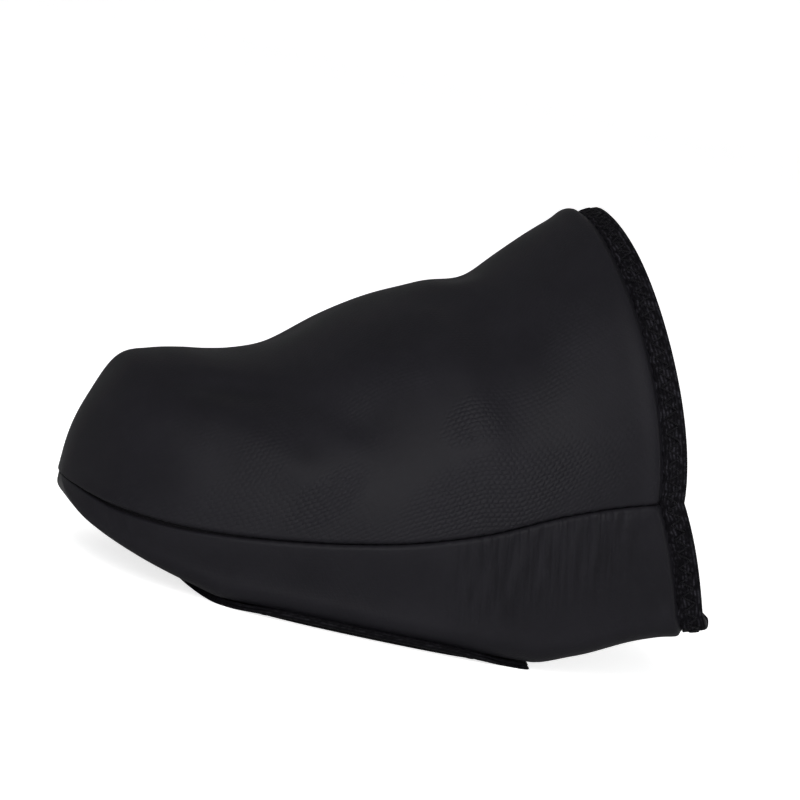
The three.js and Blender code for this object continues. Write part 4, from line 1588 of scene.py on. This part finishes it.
@dataclass(frozen=True)
class Lamp:
    """A square soft light: its place, the length of its side and its power in watts."""

    name: str
    place: Triple
    size: float
    power: float

    def build(self, target: Triple) -> None:
        """Makes the light and turns it to the target."""
        light = bpy.data.lights.new(self.name, "AREA")
        light.size = self.size
        light.energy = self.power
        lamp = bpy.data.objects.new(self.name, light)
        lamp.location = self.place
        lamp.rotation_mode = "QUATERNION"
        way = Vector(target) - Vector(self.place)
        lamp.rotation_quaternion = way.to_track_quat("-Z", "Y")
        bpy.context.scene.collection.objects.link(lamp)


@dataclass
class Studio:
    """Pale floor that rises into a round backdrop, soft lights and the camera."""

    floor_start: float = 0.2
    floor_radius: float = 2.6
    bend_radius: float = 0.9
    wall_height: float = 1.9
    floor_rings: int = 14
    bend_rings: int = 24
    spokes: int = 97
    smooth_bend: float = 180.0
    floor_colour: Colour = (0.86, 0.86, 0.86)
    floor_roughness: float = 0.9
    floor_glow: float = 0.76
    surroundings: float = 0.24
    lamps: tuple[Lamp, ...] = (
        Lamp("key", (-0.38, -1.02, 0.72), 0.9, 14.5),
        Lamp("low", (-0.16, -1.11, 0.10), 0.6, 6.5),
        Lamp("inner_side", (0.88, 0.90, 0.10), 0.6, 2.6),
        Lamp("behind", (1.15, 0.15, 0.20), 0.6, 3.5),
    )
    camera_place: Triple = (-0.2457, -0.9467, 0.1621)
    camera_target: Triple = (0.0, 0.0, 0.047)
    camera_up: Triple = (-0.188, 0.167, 0.968)
    camera_range: Pair = (0.01, 20.0)
    focal_share: float = 5.55

    def build_floor(self) -> bpy.types.Object:
        """The floor: a disc turned round the middle, whose rim rises in a quarter circle."""
        corner = np.linspace(0, 1, self.bend_rings)[1:] * math.pi / 2
        level = np.linspace(self.floor_start, self.floor_radius, self.floor_rings)
        level = np.concatenate([[0.0], level])
        radius = np.concatenate([level, self.floor_radius + self.bend_radius * np.sin(corner)])
        height = np.concatenate([0 * level, self.bend_radius * (1 - np.cos(corner))])
        radius = np.append(radius, radius[-1])[:, None]
        height = np.append(height, self.bend_radius + self.wall_height)[:, None]
        angle = np.linspace(0, 2 * math.pi, self.spokes)
        sheets = [radius * np.cos(angle), radius * np.sin(angle), height + 0 * angle]
        grid = np.stack(sheets, axis=-1)
        skin = Skin()
        skin.add_grid(grid, grid[..., :2])
        floor = skin.build("studio_floor", [self.floor_material()], self.smooth_bend)
        return floor

    def floor_material(self) -> bpy.types.Material:
        """Matt pale paint that glows to the eye only, seen through from below."""
        material = bpy.data.materials.new("pale_floor")
        material.use_nodes = True
        sheet = NodeSheet(material.node_tree)
        shader = material.node_tree.nodes["Principled BSDF"]
        shader.inputs["Base Color"].default_value = (*self.floor_colour, 1.0)
        shader.inputs["Roughness"].default_value = self.floor_roughness
        shader.inputs["Emission Color"].default_value = (1.0, 1.0, 1.0, 1.0)
        seen = sheet.add("ShaderNodeLightPath").outputs["Is Camera Ray"]
        sheet.feed(shader.inputs["Emission Strength"], sheet.math("MULTIPLY", seen, self.floor_glow))
        back = sheet.add("ShaderNodeNewGeometry").outputs["Backfacing"]
        clear = sheet.add("ShaderNodeBsdfTransparent").outputs[0]
        join = sheet.add("ShaderNodeMixShader")
        for socket, source in zip(join.inputs, (back, shader.outputs[0], clear)):
            sheet.feed(socket, source)
        sheet.feed(material.node_tree.nodes["Material Output"].inputs["Surface"], join.outputs[0])
        return material

    def build_lights(self) -> None:
        """A key light high by the camera's left, a low one, two behind and pale surroundings."""
        for lamp in self.lamps:
            lamp.build(self.camera_target)
        world = bpy.data.worlds.new("studio")
        world.use_nodes = True
        background = world.node_tree.nodes["Background"].inputs
        background["Color"].default_value = (1.0, 1.0, 1.0, 1.0)
        background["Strength"].default_value = self.surroundings
        bpy.context.scene.world = world
        bpy.context.scene.view_settings.view_transform = "Standard"

    def build_camera(self) -> None:
        """The camera at the photo's angle to the cover, rolled because that stands on its hem."""
        camera = bpy.data.cameras.new("camera")
        camera.lens = self.focal_share * camera.sensor_width
        camera.clip_start, camera.clip_end = self.camera_range
        holder = bpy.data.objects.new("camera", camera)
        place = Vector(self.camera_place)
        back = (place - Vector(self.camera_target)).normalized()
        right = Vector(self.camera_up).cross(back).normalized()
        up = back.cross(right)
        turned = Matrix((right, up, back)).transposed().to_4x4()
        holder.matrix_world = Matrix.Translation(place) @ turned
        bpy.context.scene.collection.objects.link(holder)
        bpy.context.scene.camera = holder


def main() -> None:
    """Builds the cover piece by piece, dresses it and sets it in the studio."""
    logging.basicConfig(level=logging.INFO, format="%(message)s")
    effects = Effects()
    facing, lining, gathered = (kind.material(effects) for kind in (FACING, LINING, GATHERED))
    tape, hem_tape, thread = (kind.material(effects) for kind in (TAPE, HEM, THREAD))
    foam = Foam()
    UpperPanel(foam).build([facing, lining])
    SolePanel(foam).build([gathered, lining])
    collar, hem = CollarTape(foam), HemTape(foam)
    collar.build(tape)
    hem.build(hem_tape)
    stitching = Stitching(foam, collar, hem)
    stitching.zigzag(thread)
    stitching.hem_row(thread)
    stitching.bead(thread)
    studio = Studio()
    studio.build_floor()
    studio.build_lights()
    studio.build_camera()


if __name__ == "__main__":
    main()
